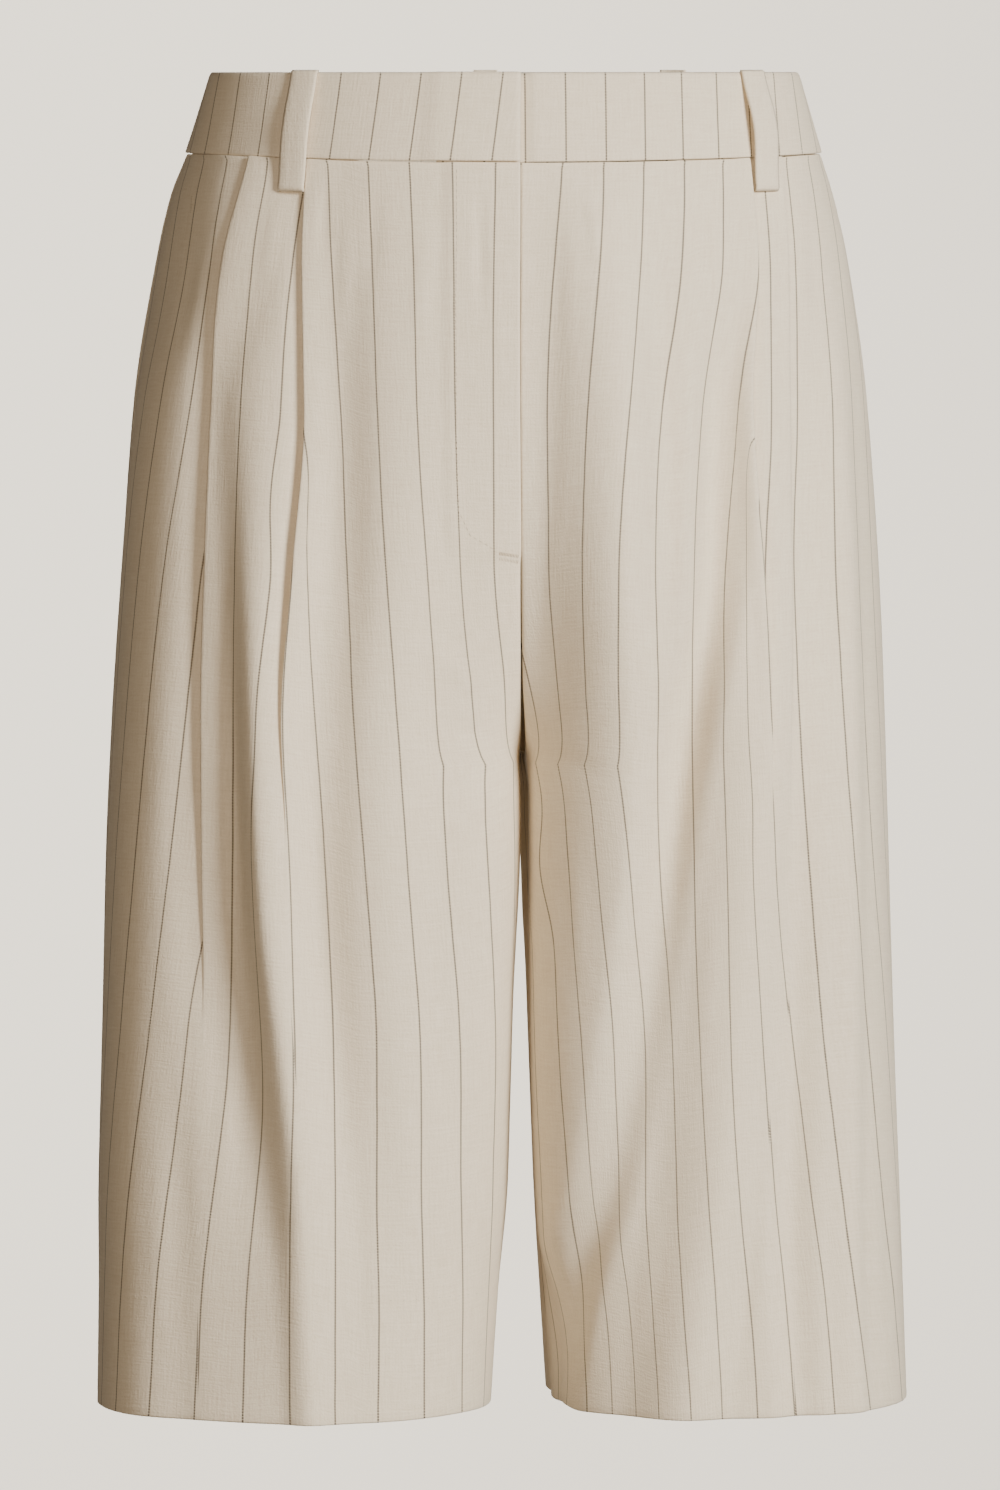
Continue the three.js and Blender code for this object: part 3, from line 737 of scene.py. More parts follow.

# %% [markdown]
# The large folds are in the CAD walls too. Cloth also has small ones, which the light finds: soft
# ridges and troughs a millimetre deep near the pleats, the fly and the crotch. Each is a short
# line with a width and a height.

# %% Small creases
CREASES = {
    "front_right": [
        ((-21, -24), (-21, -98), 5, -0.9),
        ((-14, -60), (-11, -150), 4, 0.35),
        ((-44, -30), (-50, -120), 7, 0.5),
        ((-66, -24), (-70, -86), 5, -0.6),
        ((-78, -30), (-84, -110), 6, 0.6),
        ((-88, -26), (-91, -66), 4, -0.6),
        ((-108, -26), (-116, -84), 5, 0.6),
        ((-126, -26), (-138, -70), 5, 0.5),
        ((-140, -44), (-152, -118), 6, -0.7),
        ((-10, -262), (-60, -228), 8, 0.7),
        ((-8, -276), (-48, -270), 6, -0.6),
        ((-10, -292), (-40, -330), 7, 0.5),
        ((-36, -330), (-30, -450), 8, 0.5),
        ((-50, -400), (-44, -540), 7, -0.5),
        ((-24, -440), (-20, -575), 6, 0.5),
        ((-76, -450), (-74, -580), 7, -0.6),
        ((-132, -380), (-138, -500), 7, 0.7),
        ((-152, -250), (-158, -360), 6, -0.6),
        ((-160, -430), (-162, -560), 6, 0.6),
    ],
    "front_left": [
        ((14, -34), (10, -120), 6, -0.5),
        ((28, -26), (30, -74), 5, 0.6),
        ((50, -26), (54, -110), 7, 0.5),
        ((66, -26), (68, -80), 5, -0.5),
        ((84, -28), (88, -96), 5, 0.6),
        ((96, -30), (94, -84), 4, -0.5),
        ((114, -30), (114, -100), 5, 0.5),
        ((132, -34), (136, -110), 5, -0.6),
        ((10, -268), (50, -240), 8, 0.7),
        ((10, -284), (44, -296), 6, -0.6),
        ((22, -310), (26, -400), 7, 0.5),
        ((84, -320), (76, -440), 8, 0.6),
        ((108, -300), (106, -430), 6, -0.6),
        ((60, -470), (48, -570), 7, 0.5),
        ((100, -470), (96, -580), 7, -0.6),
        ((134, -380), (138, -520), 6, 0.6),
        ((158, -240), (162, -340), 6, 0.5),
        ((164, -430), (168, -560), 6, -0.5),
    ],
    "back_right": [
        ((-22, -40), (-26, -130), 8, 0.6),
        ((-40, -60), (-36, -150), 7, -0.6),
        ((-80, -40), (-90, -120), 7, 0.7),
        ((-104, -30), (-110, -90), 6, -0.6),
        ((-130, -50), (-142, -140), 6, 0.6),
        ((-12, -270), (-70, -246), 9, 1.0),
        ((-10, -290), (-64, -290), 8, -0.9),
        ((-12, -306), (-50, -340), 8, 0.8),
        ((-36, -350), (-30, -480), 7, 0.6),
        ((-74, -370), (-70, -500), 8, -0.7),
        ((-104, -330), (-102, -440), 6, 0.6),
        ((-134, -300), (-132, -400), 7, -0.6),
        ((-24, -480), (-22, -576), 6, -0.5),
        ((-126, -470), (-128, -578), 7, 0.6),
    ],
    "back_left": [
        ((20, -46), (26, -120), 8, 0.6),
        ((42, -70), (40, -170), 8, -0.7),
        ((78, -36), (84, -104), 6, 0.6),
        ((106, -40), (112, -130), 7, 0.6),
        ((128, -60), (138, -120), 6, -0.6),
        ((12, -264), (78, -250), 9, 0.9),
        ((10, -286), (56, -282), 8, -0.9),
        ((14, -304), (60, -334), 9, 0.8),
        ((34, -340), (30, -430), 7, 0.5),
        ((78, -350), (84, -470), 8, -0.6),
        ((110, -360), (112, -500), 7, 0.6),
        ((140, -320), (142, -450), 6, 0.6),
        ((26, -490), (26, -578), 7, 0.6),
        ((96, -500), (94, -580), 7, -0.5),
    ],
}


def crease_height(name, x, z):
    height = np.zeros(np.broadcast(x, z).shape)
    for (x0, z0), (x1, z1), width, tall in CREASES[name]:
        run = math.hypot(x1 - x0, z1 - z0)
        along = ((x - x0) * (x1 - x0) + (z - z0) * (z1 - z0)) / run**2
        aside = ((x - x0) * (z1 - z0) - (z - z0) * (x1 - x0)) / run / width
        height += tall * bump(aside) * bump(2 * np.clip(along, 0, 1) - 1)
    return height


def relief(name, x, z, segment):
    side = PANELS[name]["side"]
    height = crease_height(name, x, z)
    for fold in folds[name]:
        height = height + fold["tall"](z) * bump(reach_from(fold, side, x, z))
    for i, pleat in enumerate(pleats[name]):
        up = np.where(segment > i, 1, -1)
        t = reach_from(pleat, side, x, z)
        height = height + 0.5 * up * pleat["tall"](z) * bump(t)
    return height


def edge_fade(half, turn, z):
    radius = form["front"](z) if half < 0 else form["back"](z)
    from_side = smooth(turn * radius / EDGE_FADE)
    return from_side * smooth((reach(half, z) - turn) * radius / EDGE_FADE)


def fly_raise(name, x, z):
    if name != "front_right":
        return 0
    within = FLY_WIDTH + FLY_RAMP / 2 - (middle["front"](z) - x)
    return FLY_RAISE * smooth(within / FLY_RAMP) * smooth((z - FLY_END) / FLY_RAMP)


def seam_roll(name, turn, z):
    half = PANELS[name]["half"]
    radius = form["front"](z) if half < 0 else form["back"](z)
    from_side = turn * radius / SEAM_ROLL_WIDTH
    from_middle = (reach(half, z) - turn) * radius / SEAM_ROLL_WIDTH
    if half < 0:
        from_middle = np.where(z > FLY_END, 1, from_middle)
    from_top = (BAND_SEAM - SEAM_GAP / 2 - z) / SEAM_ROLL_WIDTH
    roll = 0
    for distance in (from_side, from_middle, from_top):
        roll = roll - SEAM_ROLL * (1 - np.clip(distance, 0, 1)) ** 2
    return roll


def turned_top(half, turn):
    """How far the first rows go in and up behind the waistband, away from the fly."""
    inward, upward = np.zeros_like(levels), np.zeros_like(levels)
    inward[: len(TURNED_IN), 0] = TURNED_IN
    upward[: len(TURNED_UP), 0] = TURNED_UP
    if half > 0:
        return inward, upward
    away = (reach(half, levels) - turn) * form["front"](levels)
    share = smooth((away - TURNED_CLEAR) / TURNED_RAMP)
    return inward * share, upward * mix(0.05, 1, share)


def lip_round(name, x, z, segment):
    drop = 0
    for i, pleat in enumerate(pleats[name]):
        side = PANELS[name]["side"]
        full = smooth(pleat["tall"](z) / LIP_FULL_STEP)
        edge = pleat["at"](z) + side * mix(LIP_APART, LIP_OVER, full)
        inside = np.clip((edge - x) * side / LIP_ROUND, 0, 1)
        fall = LIP_ROUND * full * (1 - np.sqrt(1 - (1 - inside) ** 2))
        drop = drop - np.where(segment > i, fall, 0)
    return drop


def panel_points(name):
    side, half = PANELS[name]["side"], PANELS[name]["half"]
    turn, segment = panel_columns(name, levels)
    fall = smooth(1 + (levels - BAND_SEAM) / BAND_SEAM_FADE)
    rise = HEM_RISE * np.cos(turn) ** 2 * smooth(1 - (levels - HEM) / HEM_RISE_FADE)
    inward, upward = turned_top(half, turn)
    z = levels + (seam_level(turn) - BAND_SEAM) * fall + rise + upward
    flat = form_point(side, half, turn, z)
    normal = form_normal(side, half, turn, z)
    x = flat[..., 0]
    height = edge_fade(half, turn, z) * (relief(name, x, z, segment) + lip_round(name, x, z, segment))
    height = height + fly_raise(name, x, z) + seam_roll(name, turn, levels) + sinks - inward
    return flat + normal * height[..., None], normal, segment


grids = {name: panel_points(name) for name in PANELS}
print("lowest point", round(min(float(g[0][..., 2].min()) for g in grids.values()), 1), "mm")

# %% [markdown]
# The stripes run down the cloth, not straight down the air, so they bend wherever it does. Some
# of them are given at each level. Between two of those a row is measured along the
# cloth, and beyond them a stripe comes every 20 mm or so. The stripe's number goes into the UV
# map, so one material serves every panel.

# %% Stripes on the cloth
UV_SPACING = 20
SPACING = [19, 19, 19.5, 20, 20.5, 21, 21, 21, 21, 21]
KNOWN_STRIPES = {
    "front_right": [
        {
            "number": 1,
            "until": -420,
            "x": [-130, -138, -148, -160, -168, -174.5, -180, -182, -182, -182],
        },
        {
            "number": 2,
            "since": -190,
            "x": [-136, -139, -142, -144.5, -152, -160.5, -169, -176, -179.5, -181],
        },
        {
            "number": 4,
            "x": [-112.5, -120.5, -127, -130.5, -131.5, -131.5, -133, -140, -145.5, -148],
        },
        {
            "number": 6,
            "since": -160,
            "x": [-98, -99.5, -100, -105.5, -110.8, -107, -105.5, -107, -107, -106.5],
        },
        {
            "number": 7,
            "since": -140,
            "x": [-93, -94, -96.5, -100, -95.5, -90.5, -87, -86.5, -86.5, -86.5],
        },
        {"number": 8, "x": [-87.5, -86.5, -83.5, -81.5, -79, -73, -68, -68, -66.5, -67]},
        {"number": 10, "x": [-52, -51, -50.5, -46.5, -41, -36, -29.5, -29, -27, -27]},
        {
            "number": 12,
            "until": -285,
            "x": [-13.5, -15.5, -16.5, -16.5, -8, -6, -6, -6, -6, -6],
        },
    ],
    "front_left": [
        {
            "number": 0,
            "since": -236,
            "x": [-8, -8, -8, -6, 4, 11.5, 15, 20.5, 27, 29.5],
        },
        {"number": 1, "x": [17, 11.5, 7.5, 8, 14, 18.5, 24.5, 30, 36.5, 40]},
        {"number": 3, "x": [54, 51, 43.5, 37.5, 38, 45, 53, 53, 56, 59.5]},
        {"number": 5, "x": [91, 89.5, 79, 73.5, 73, 73.5, 76.5, 80, 84, 88]},
        {
            "number": 6,
            "since": -100,
            "x": [98, 98, 97, 89.5, 86, 88, 90, 94, 100, 104],
        },
        {
            "number": 8,
            "since": -150,
            "x": [98, 98, 99, 105.5, 107.5, 110.5, 120.5, 128, 135, 139.5],
        },
        {"number": 9, "x": [122, 125, 124.5, 120.5, 122, 127, 133.5, 141.5, 148.5, 157]},
        {
            "number": 10,
            "since": -60,
            "x": [134, 138, 141.5, 140.5, 143, 149, 156.5, 163, 170, 175],
        },
    ],
    "back_right": [
        {"number": 0, "x": [-48, -49, -50, -51, -52, -53, -54, -54, -54, -54]},
    ],
    "back_left": [
        {"number": 0, "x": [48, 49, 50, 51, 52, 53, 54, 54, 54, 54]},
    ],
}
LIP_OPEN_STEP = 1.5
EASE_ROWS = 9


def known_here(name, z):
    """The known stripes that show at a level, from the side seam to the middle."""
    rows = [k for k in KNOWN_STRIPES[name] if k.get("until", HEM - 1) <= z <= k.get("since", 0)]
    places = [(float(curve(LEVELS, k["x"])(z)), k["number"]) for k in rows]
    return sorted(places, key=lambda place: -abs(place[0]))


def run_along(points, lips):
    steps = np.linalg.norm(np.diff(points[:, :2], axis=0), axis=-1)
    steps[lips] = 0
    return np.concatenate(([0], np.cumsum(steps)))


def row_numbers(name, z, points, lips):
    """Stripe numbers along one row, and the length along it that they were measured on."""
    side = PANELS[name]["side"]
    run = run_along(points, lips)
    spacing = float(curve(LEVELS, SPACING)(z))
    known = known_here(name, z)
    starts = [0, *[lip + 1 for lip in lips]]
    ends = [*[lip + 1 for lip in lips], len(run)]
    at, numbers = [], []
    for x, number in known:
        part = [s for s, e in zip(starts, ends) if points[s, 0] * side >= x * side][-1]
        end = ends[starts.index(part)]
        order = np.argsort(points[part:end, 0])
        at.append(float(np.interp(x, points[part:end, 0][order], run[part:end][order])))
        numbers.append(number)
    whole = from_known(run, at, numbers, side, spacing)
    for i, lip in enumerate(lips):
        shut = float(smooth(pleats[name][i]["tall"](z) / LIP_OPEN_STEP))
        before = [k for k, length in enumerate(at) if length <= run[lip]]
        after = [k for k, length in enumerate(at) if length > run[lip]]
        if not before or not after or shut == 0:
            continue
        gap = (run > at[before[-1]]) & (run < at[after[0]])
        outside = numbers[before[-1]] - side * (run - at[before[-1]]) / spacing
        inside = numbers[after[0]] - side * (run - at[after[0]]) / spacing
        apart = np.where(np.arange(len(run)) <= lip, outside, inside)
        whole = np.where(gap, mix(whole, apart, shut), whole)
    return whole, spacing


def from_known(run, at, numbers, side, spacing):
    whole = np.interp(run, at, numbers)
    whole = np.where(run < at[0], numbers[0] - side * (run - at[0]) / spacing, whole)
    return np.where(run > at[-1], numbers[-1] - side * (run - at[-1]) / spacing, whole)


def eased_down(number):
    """The stripe numbers with their sudden changes from row to row spread over several rows."""
    reach_rows = np.arange(-EASE_ROWS, EASE_ROWS + 1)
    weights = bump(reach_rows / (EASE_ROWS + 1))
    ends = ((EASE_ROWS, EASE_ROWS), (0, 0))
    padded = np.pad(number, ends, mode="reflect", reflect_type="odd")
    parts = [w * padded[k : k + len(number)] for k, w in enumerate(weights / weights.sum())]
    return sum(parts)


def stripe_numbers(name, points, segment):
    side = PANELS[name]["side"]
    lips = [i for i in range(len(segment) - 1) if segment[i] != segment[i + 1]]
    lips = lips[: len(pleats[name])]
    number = np.empty(points.shape[:2])
    spacings = np.empty(len(points))
    for i, z in enumerate(levels[:, 0]):
        number[i], spacings[i] = row_numbers(name, z, points[i], lips)
    number = eased_down(number)
    left, right = number.copy(), number.copy()
    for lip in lips:
        rise = np.linalg.norm(points[:, lip + 1] - points[:, lip], axis=-1)
        left[:, lip] = number[:, lip + 1] + side * rise / spacings
    return left, right


def cloth_mesh(name, points, outward, left, right, down):
    """A grid whose corners lie at points. left and right are the stripe number that a corner
    gives to the face after it and before it, and down is the length down the cloth."""
    rows, columns = points.shape[:2]
    grid = bmesh.new()
    bmesh.ops.create_grid(grid, x_segments=columns - 1, y_segments=rows - 1, size=1)
    layer = grid.loops.layers.uv.new("cloth")
    places = {}
    for corner in grid.verts:
        j = round((corner.co.x + 1) / 2 * (columns - 1))
        i = round((1 - corner.co.y) / 2 * (rows - 1))
        places[corner] = (i, j)
        corner.co = points[i, j] * MM
    for face in grid.faces:
        first = min(places[corner][1] for corner in face.verts)
        for loop in face.loops:
            i, j = places[loop.vert]
            number = left[i, j] if j == first else right[i, j]
            loop[layer].uv = (number * UV_SPACING * MM, down[i, j] * MM)
    grid.normal_update()
    agree = sum(f.normal.dot(Vector(outward[places[f.verts[0]]])) for f in grid.faces)
    if agree < 0:
        bmesh.ops.reverse_faces(grid, faces=grid.faces)
    mesh = bpy.data.meshes.new(name)
    grid.to_mesh(mesh)
    grid.free()
    mesh.shade_smooth()
    mesh.set_sharp_from_angle(angle=math.radians(55))
    piece = bpy.data.objects.new(name, mesh)
    bpy.context.collection.objects.link(piece)
    return piece


def thicken(piece, millimetres):
    solid = piece.modifiers.new("cloth thickness", "SOLIDIFY")
    solid.thickness = millimetres * MM
    solid.offset = -1
    solid.use_quality_normals = True
    return piece


CLOTH = 0.8
panels = {}
for name, (points, outward, segment) in grids.items():
    left, right = stripe_numbers(name, points, segment)
    lengths = np.linalg.norm(np.diff(points, axis=0), axis=-1)
    down = np.concatenate((np.zeros((1, points.shape[1])), -np.cumsum(lengths, axis=0)))
    panels[name] = thicken(cloth_mesh("cloth_" + name, points, outward, left, right, down), CLOTH)
areas = {name: sum(face.area for face in piece.data.polygons) for name, piece in panels.items()}
print("square metres of cloth", {name: round(area, 4) for name, area in areas.items()})

# %% [markdown]
# The strip behind the fly is sewn to the left front and closes the opening. It hardly shows, so
# it is a plain sheet just behind the right front.

# %% Strip behind the fly
UNDERLAP_CLEAR = 0.45
UNDERLAP_COLUMNS = 10
UNDERLAP_ROWS = 24


def underlap_points():
    z = np.linspace(BAND_SEAM - 1, FLY_END, UNDERLAP_ROWS)[:, None]
    back = np.linspace(SEAM_GAP, FLY_WIDTH, UNDERLAP_COLUMNS)[None, :]
    x = middle_x(-1, -1, z) - back
    turn = turn_at(-1, -1, x, z)
    normal = form_normal(-1, -1, turn, z)
    height = edge_fade(-1, turn, z) * relief("front_right", x, z, np.array([0]))
    height = height - UNDERLAP_CLEAR
    return form_point(-1, -1, turn, z) + normal * height[..., None], normal


points, outward = underlap_points()
flat_map = np.broadcast_to(points[..., 0] / UV_SPACING, points.shape[:2])
underlap = cloth_mesh("underlap_cloth", points, outward, flat_map, flat_map, points[..., 2])
thicken(underlap, CLOTH)
print("underlap reaches down to", FLY_END, "mm")

# %% [markdown]
# The waistband is two layers of cloth with a stiff one between, so it keeps a smooth curve. The
# right half laps over the left above the fly. Each half is a strip on the form, its edges rolled
# in where it is turned.

# %% Waistband
BAND_CLOTH = 2.2
BAND_PROUD = 1
BAND_COLUMNS = 90
BAND_ROWS = 14
BAND_TOP_ROLL = 1.1
BAND_TOP_ROLL_WIDTH = 2.2
BAND_SEAM_ROLL = 0.4
BAND_SEAM_ROLL_WIDTH = 0.9
LAP_WIDTH = 36
LAP_RAISE = 1.2
LAP_RAMP = 10
LAP_CLEAR = 0.4
LAP_WALL = 2.6
LAP_COLUMNS = 26
TUCK_FROM = 1
TUCK_RAMP = 4.5
BAND_SPACING = 18.5
BAND_STRIPES = {-1: (-45.4, -51.9), 1: (55.3, 54.5)}


def lap_under():
    return BAND_PROUD + LAP_RAISE - LAP_WALL - LAP_CLEAR


def band_columns(side):
    """Side, half and turn of each column from the front end round to the centre back."""
    front = np.linspace(math.pi / 2, 0, BAND_COLUMNS, endpoint=False)
    back = np.linspace(0, math.pi / 2, BAND_COLUMNS + 1)
    rows = [(side, -1, turn) for turn in front] + [(side, 1, turn) for turn in back]
    if side < 0:
        return rows
    edge = float(middle["front"](0))
    lap = [(-1, -1, float(turn_at(-1, -1, edge - w, 0))) for w in
           np.linspace(LAP_WIDTH, TUCK_FROM, LAP_COLUMNS)]
    return lap + [row for row in rows if row[1] > 0 or form_point(*row, 0)[0] > edge + TUCK_FROM]


def band_height(side, row):
    own, half, turn = row
    if half > 0:
        return BAND_PROUD
    x = form_point(own, half, turn, 0)[0] - float(middle["front"](0))
    if side < 0:
        return BAND_PROUD + LAP_RAISE * smooth((LAP_WIDTH + LAP_RAMP - abs(x)) / LAP_RAMP)
    return mix(lap_under(), BAND_PROUD, smooth((x - TUCK_FROM) / TUCK_RAMP))


def rounding(distance):
    """How far a rounded edge has fallen: 1 at the edge, 0 from a distance of 1 on."""
    return 1 - np.sqrt(1 - (1 - np.clip(distance, 0, 1)) ** 2)


def band_points(side):
    part = np.linspace(0, 1, BAND_ROWS)
    part = 0.5 - 0.5 * np.cos(math.pi * part)
    points, outward = [], []
    for row in band_columns(side):
        own, half, turn = row
        bottom = seam_level(turn) + SEAM_GAP / 2
        z = mix(BAND_TOP, bottom, part)
        roll = BAND_TOP_ROLL * rounding((BAND_TOP - z) / BAND_TOP_ROLL_WIDTH)
        roll = roll + BAND_SEAM_ROLL * rounding((z - bottom) / BAND_SEAM_ROLL_WIDTH)
        normal = form_normal(own, half, turn, z)
        height = band_height(side, row) - roll
        points.append(form_point(own, half, turn, z, 0) + normal * height[:, None])
        outward.append(normal)
    return np.stack(points, axis=1), np.stack(outward, axis=1)


def band_numbers(side, points):
    steps = np.linalg.norm(np.diff(points[..., :2], axis=1), axis=-1)
    length = np.concatenate((np.zeros((len(points), 1)), np.cumsum(steps, axis=1)), axis=1)
    top, bottom = BAND_STRIPES[side]
    number = np.empty(length.shape)
    for i, row in enumerate(points):
        front = row[:, 1] < 0
        known = mix(top, bottom, (BAND_TOP - row[0, 2]) / (BAND_TOP - BAND_SEAM))
        order = np.argsort(row[front, 0])
        start = np.interp(known, row[front, 0][order], length[i][front][order])
        number[i] = side * (length[i] - start) / BAND_SPACING
    return number


bands = {}
for word, side in (("right", -1), ("left", 1)):
    points, outward = band_points(side)
    number = band_numbers(side, points)
    band = cloth_mesh("band_" + word, points, outward, number, number, points[..., 2])
    bands[word] = thicken(band, BAND_CLOTH)
print("waistband halves", sorted(bands))

# %% [markdown]
# A belt loop is a narrow strip of plain cloth, folded and sewn at its two ends, with enough slack
# between for a belt. It goes over the waistband's top edge and turns under at its lower end.

# %% Belt loops
LOOPS = {
    "front_right": {"half": -1, "top": -95, "end": -103},
    "front_left": {"half": -1, "top": 106, "end": 111, "bow": 3.4},
    "back_right": {"half": 1, "top": -84, "end": -88},
    "back_left": {"half": 1, "top": 84, "end": 88},
    "centre_back": {"half": 1, "top": 0, "end": 0},
}
LOOP_WIDTH = 11
LOOP_CLOTH = 1.2
LOOP_CLEAR = 2.9
LOOP_BOW = 2.2
LOOP_END = -34
LOOP_ABOVE = 1
LOOP_ROWS = 40
LOOP_COLUMNS = 12
LOOP_EDGE = 0.5


def loop_points(row):
    side = -1 if row["top"] < 0 else 1
    part = np.linspace(0, 1, LOOP_ROWS)[:, None]
    across = np.linspace(-0.5, 0.5, LOOP_COLUMNS + 1)[None, :]
    z = mix(BAND_TOP + LOOP_ABOVE, LOOP_END, part)
    ends = np.minimum(part, 1 - part) * (BAND_TOP + LOOP_ABOVE - LOOP_END)
    roll = 1.2 * (1 - np.sqrt(1 - (1 - np.clip(ends / 1.6, 0, 1)) ** 2))
    bow = row.get("bow", LOOP_BOW) * np.sin(math.pi * part) ** 2
    edge = LOOP_EDGE * (2 * np.abs(across)) ** 4
    x = mix(row["top"], row["end"], part) + LOOP_WIDTH * across
    height = LOOP_CLEAR + bow - roll - edge
    own = np.where(x < 0, -1, 1) if row["top"] == 0 else np.full(x.shape, side)
    turn = turn_both(own, row["half"], x, z)
    return turn, height


def turn_both(own, half, x, z):
    points = np.empty((*x.shape, 3))
    normals = np.empty((*x.shape, 3))
    for side in (-1, 1):
        turn = turn_at(side, half, x, z)
        here = own == side
        points[here] = form_point(side, half, turn, z)[here]
        normals[here] = form_normal(side, half, turn, z)[here]
    return points, normals


loops = {}
for name, row in LOOPS.items():
    (points, outward), height = loop_points(row)
    points = points + outward * height[..., None]
    flat_map = points[..., 0] / UV_SPACING
    loop = cloth_mesh("loop_" + name, points, outward, flat_map, flat_map, points[..., 2])
    loops[name] = thicken(loop, LOOP_CLOTH)
print("belt loops", len(loops))

# %% [markdown]
# A fly is held by a row of stitches that curves in to the edge, and the places that take strain
# by bar tacks, short dense rows of them. The hem's stitches only just come through. Each stitch is
# a small grain of thread that lies along its path.

# %% Stitches
STITCH_PATHS = [
    {
        "panel": "front_right",
        "points": [(-31, -23), (-32.4, -82), (-33, -148), (-32.3, -175), (-27, -186), (-15, -193)],
        "pitch": 2.9,
        "length": 2.1,
        "lift": 0.05,
    },
    {"panel": "front_right", "points": [(-14, -194), (-5, -195.5)], "pitch": 0.7, "tack": True},
    {"panel": "front_right", "points": [(-14, -196.5), (-5, -198)], "pitch": 0.7, "tack": True},
    {"panel": "front_right", "points": [(-144.4, -36), (-145, -44)], "pitch": 0.7, "tack": True},
    {"panel": "front_left", "points": [(146, -37), (147, -45)], "pitch": 0.7, "tack": True},
]
HEM_STITCH_LEVEL = -527
HEM_STITCH_PITCH = 8
HEM_STITCH_LENGTH = 1.1
HEM_STITCH_ENDS = (0.35, 2.75)
THREAD_WIDTH = 0.34
THREAD_SEGMENTS = 6
THREAD_RINGS = 4
TACK_LENGTH = 1.9


def on_cloth(name, x, z, lift):
    """The point of a panel's outer face at x and z, raised by lift, and its normal."""
    side, half = PANELS[name]["side"], PANELS[name]["half"]
    x, z = np.array([[x]], float), np.array([[z]], float)
    turn = turn_at(side, half, x, z)
    height = relief(name, x, z, np.array([len(pleats[name])])) * edge_fade(half, turn, z)
    height = height + fly_raise(name, x, z) + lift
    normal = form_normal(side, half, turn, z)
    return (form_point(side, half, turn, z) + normal * height[..., None])[0, 0], normal[0, 0]


def along_path(points, pitch):
    """Points every pitch along a path, each with the path's direction there."""
    corners = np.array(points, float)
    run = np.concatenate(([0], np.cumsum(np.linalg.norm(np.diff(corners, axis=0), axis=1))))
    at = np.arange(pitch / 2, run[-1], pitch)
    places = np.stack([np.interp(at, run, corners[:, k]) for k in (0, 1)], axis=1)
    ahead = np.stack([np.interp(at + 0.5, run, corners[:, k]) for k in (0, 1)], axis=1)
    behind = np.stack([np.interp(at - 0.5, run, corners[:, k]) for k in (0, 1)], axis=1)
    return places, (ahead - behind) / np.linalg.norm(ahead - behind, axis=1)[:, None]


def add_stitch(grain, name, place, direction, length, lift):
    (x, z), (dx, dz) = place, direction
    centre, normal = on_cloth(name, x, z, lift)
    ahead, _ = on_cloth(name, x + dx, z + dz, lift)
    line = Vector(ahead - centre).normalized()
    up = Vector(normal)
    turned = Matrix((line, up.cross(line), up)).transposed().to_4x4()
    scaled = Matrix.Diagonal((length / 2, THREAD_WIDTH / 2, THREAD_WIDTH / 2, 1))
    moved = Matrix.Translation(Vector(centre)) @ turned @ scaled
    bmesh.ops.create_uvsphere(
        grain,
        u_segments=THREAD_SEGMENTS,
        v_segments=THREAD_RINGS,
        radius=1,
        matrix=Matrix.Scale(MM, 4) @ moved,
    )


def path_stitches(grain, name):
    for row in STITCH_PATHS:
        if row["panel"] != name:
            continue
        places, directions = along_path(row["points"], row["pitch"])
        for place, (dx, dz) in zip(places, directions):
            direction = (-dz, dx) if row.get("tack") else (dx, dz)
            length = row.get("length", TACK_LENGTH)
            add_stitch(grain, name, place, direction, length, row.get("lift", 0.15))


def hem_stitches(grain, name):
    side, half = PANELS[name]["side"], PANELS[name]["half"]
    radius = float(form["front"](HEM_STITCH_LEVEL))
    for turn in np.arange(*HEM_STITCH_ENDS, HEM_STITCH_PITCH / radius):
        x = float(form_point(side, half, np.array(turn), float(HEM_STITCH_LEVEL))[0])
        add_stitch(grain, name, (x, HEM_STITCH_LEVEL), (1, 0.3), HEM_STITCH_LENGTH, 0)


stitches = {}
for name in PANELS:
    grain = bmesh.new()
    path_stitches(grain, name)
    hem_stitches(grain, name)
    mesh = bpy.data.meshes.new("stitches_" + name)
    grain.to_mesh(mesh)
    grain.free()
    mesh.shade_smooth()
    stitches[name] = bpy.data.objects.new("stitches_" + name, mesh)
    bpy.context.collection.objects.link(stitches[name])
print("stitches", {name: len(piece.data.polygons) for name, piece in stitches.items()})

# %% [markdown]
# The cloth is a plain weave of linen and viscose: matte, cream, with slightly uneven threads, and
# a dark thread woven in and out every 20 mm or so that reads as a dotted line. Threads half a
# millimetre apart are too fine to show whole, so the weave is drawn at about twice its size.

# %% Cloth materials
CREAM = "#eee0c7"
CREAM_SHADE = "#e0d0b5"
STRIPE = "#3a2f26"
STRIPE_WIDTH = 0.8
STRIPE_SOFT = 0.2
STRIPE_DASH = 1.3
STRIPE_WAVER = 0.25
THREAD = 1.0
THREAD_COLOUR = "#c9bba4"
SLUB_LENGTH = 14
CLOTH_IOR = 1.5


def millimetre_map(tree):
    """The cloth's UV map in millimetres, and its two parts."""
    uv = add_node(tree, "ShaderNodeUVMap", uv_map="cloth")
    scaled = add_node(tree, "ShaderNodeVectorMath", {0: uv.outputs["UV"]}, operation="SCALE")
    scaled.inputs["Scale"].default_value = 1 / MM
    parts = add_node(tree, "ShaderNodeSeparateXYZ", {0: scaled.outputs[0]})
    return scaled.outputs[0], parts.outputs[0], parts.outputs[1]


def thread_noise(tree, place, across, along, seed):
    """Streaks of thread: across and along are a streak's width and length in millimetres."""
    mapping = add_node(tree, "ShaderNodeMapping", {"Vector": place})
    mapping.inputs["Scale"].default_value = (1 / across, 1 / along, 1)
    mapping.inputs["Location"].default_value = (seed, seed, seed)
    noise = add_node(tree, "ShaderNodeTexNoise", {"Vector": mapping.outputs[0]})
    noise.inputs["Scale"].default_value = 1
    noise.inputs["Detail"].default_value = 2
    return noise.outputs["Fac"]


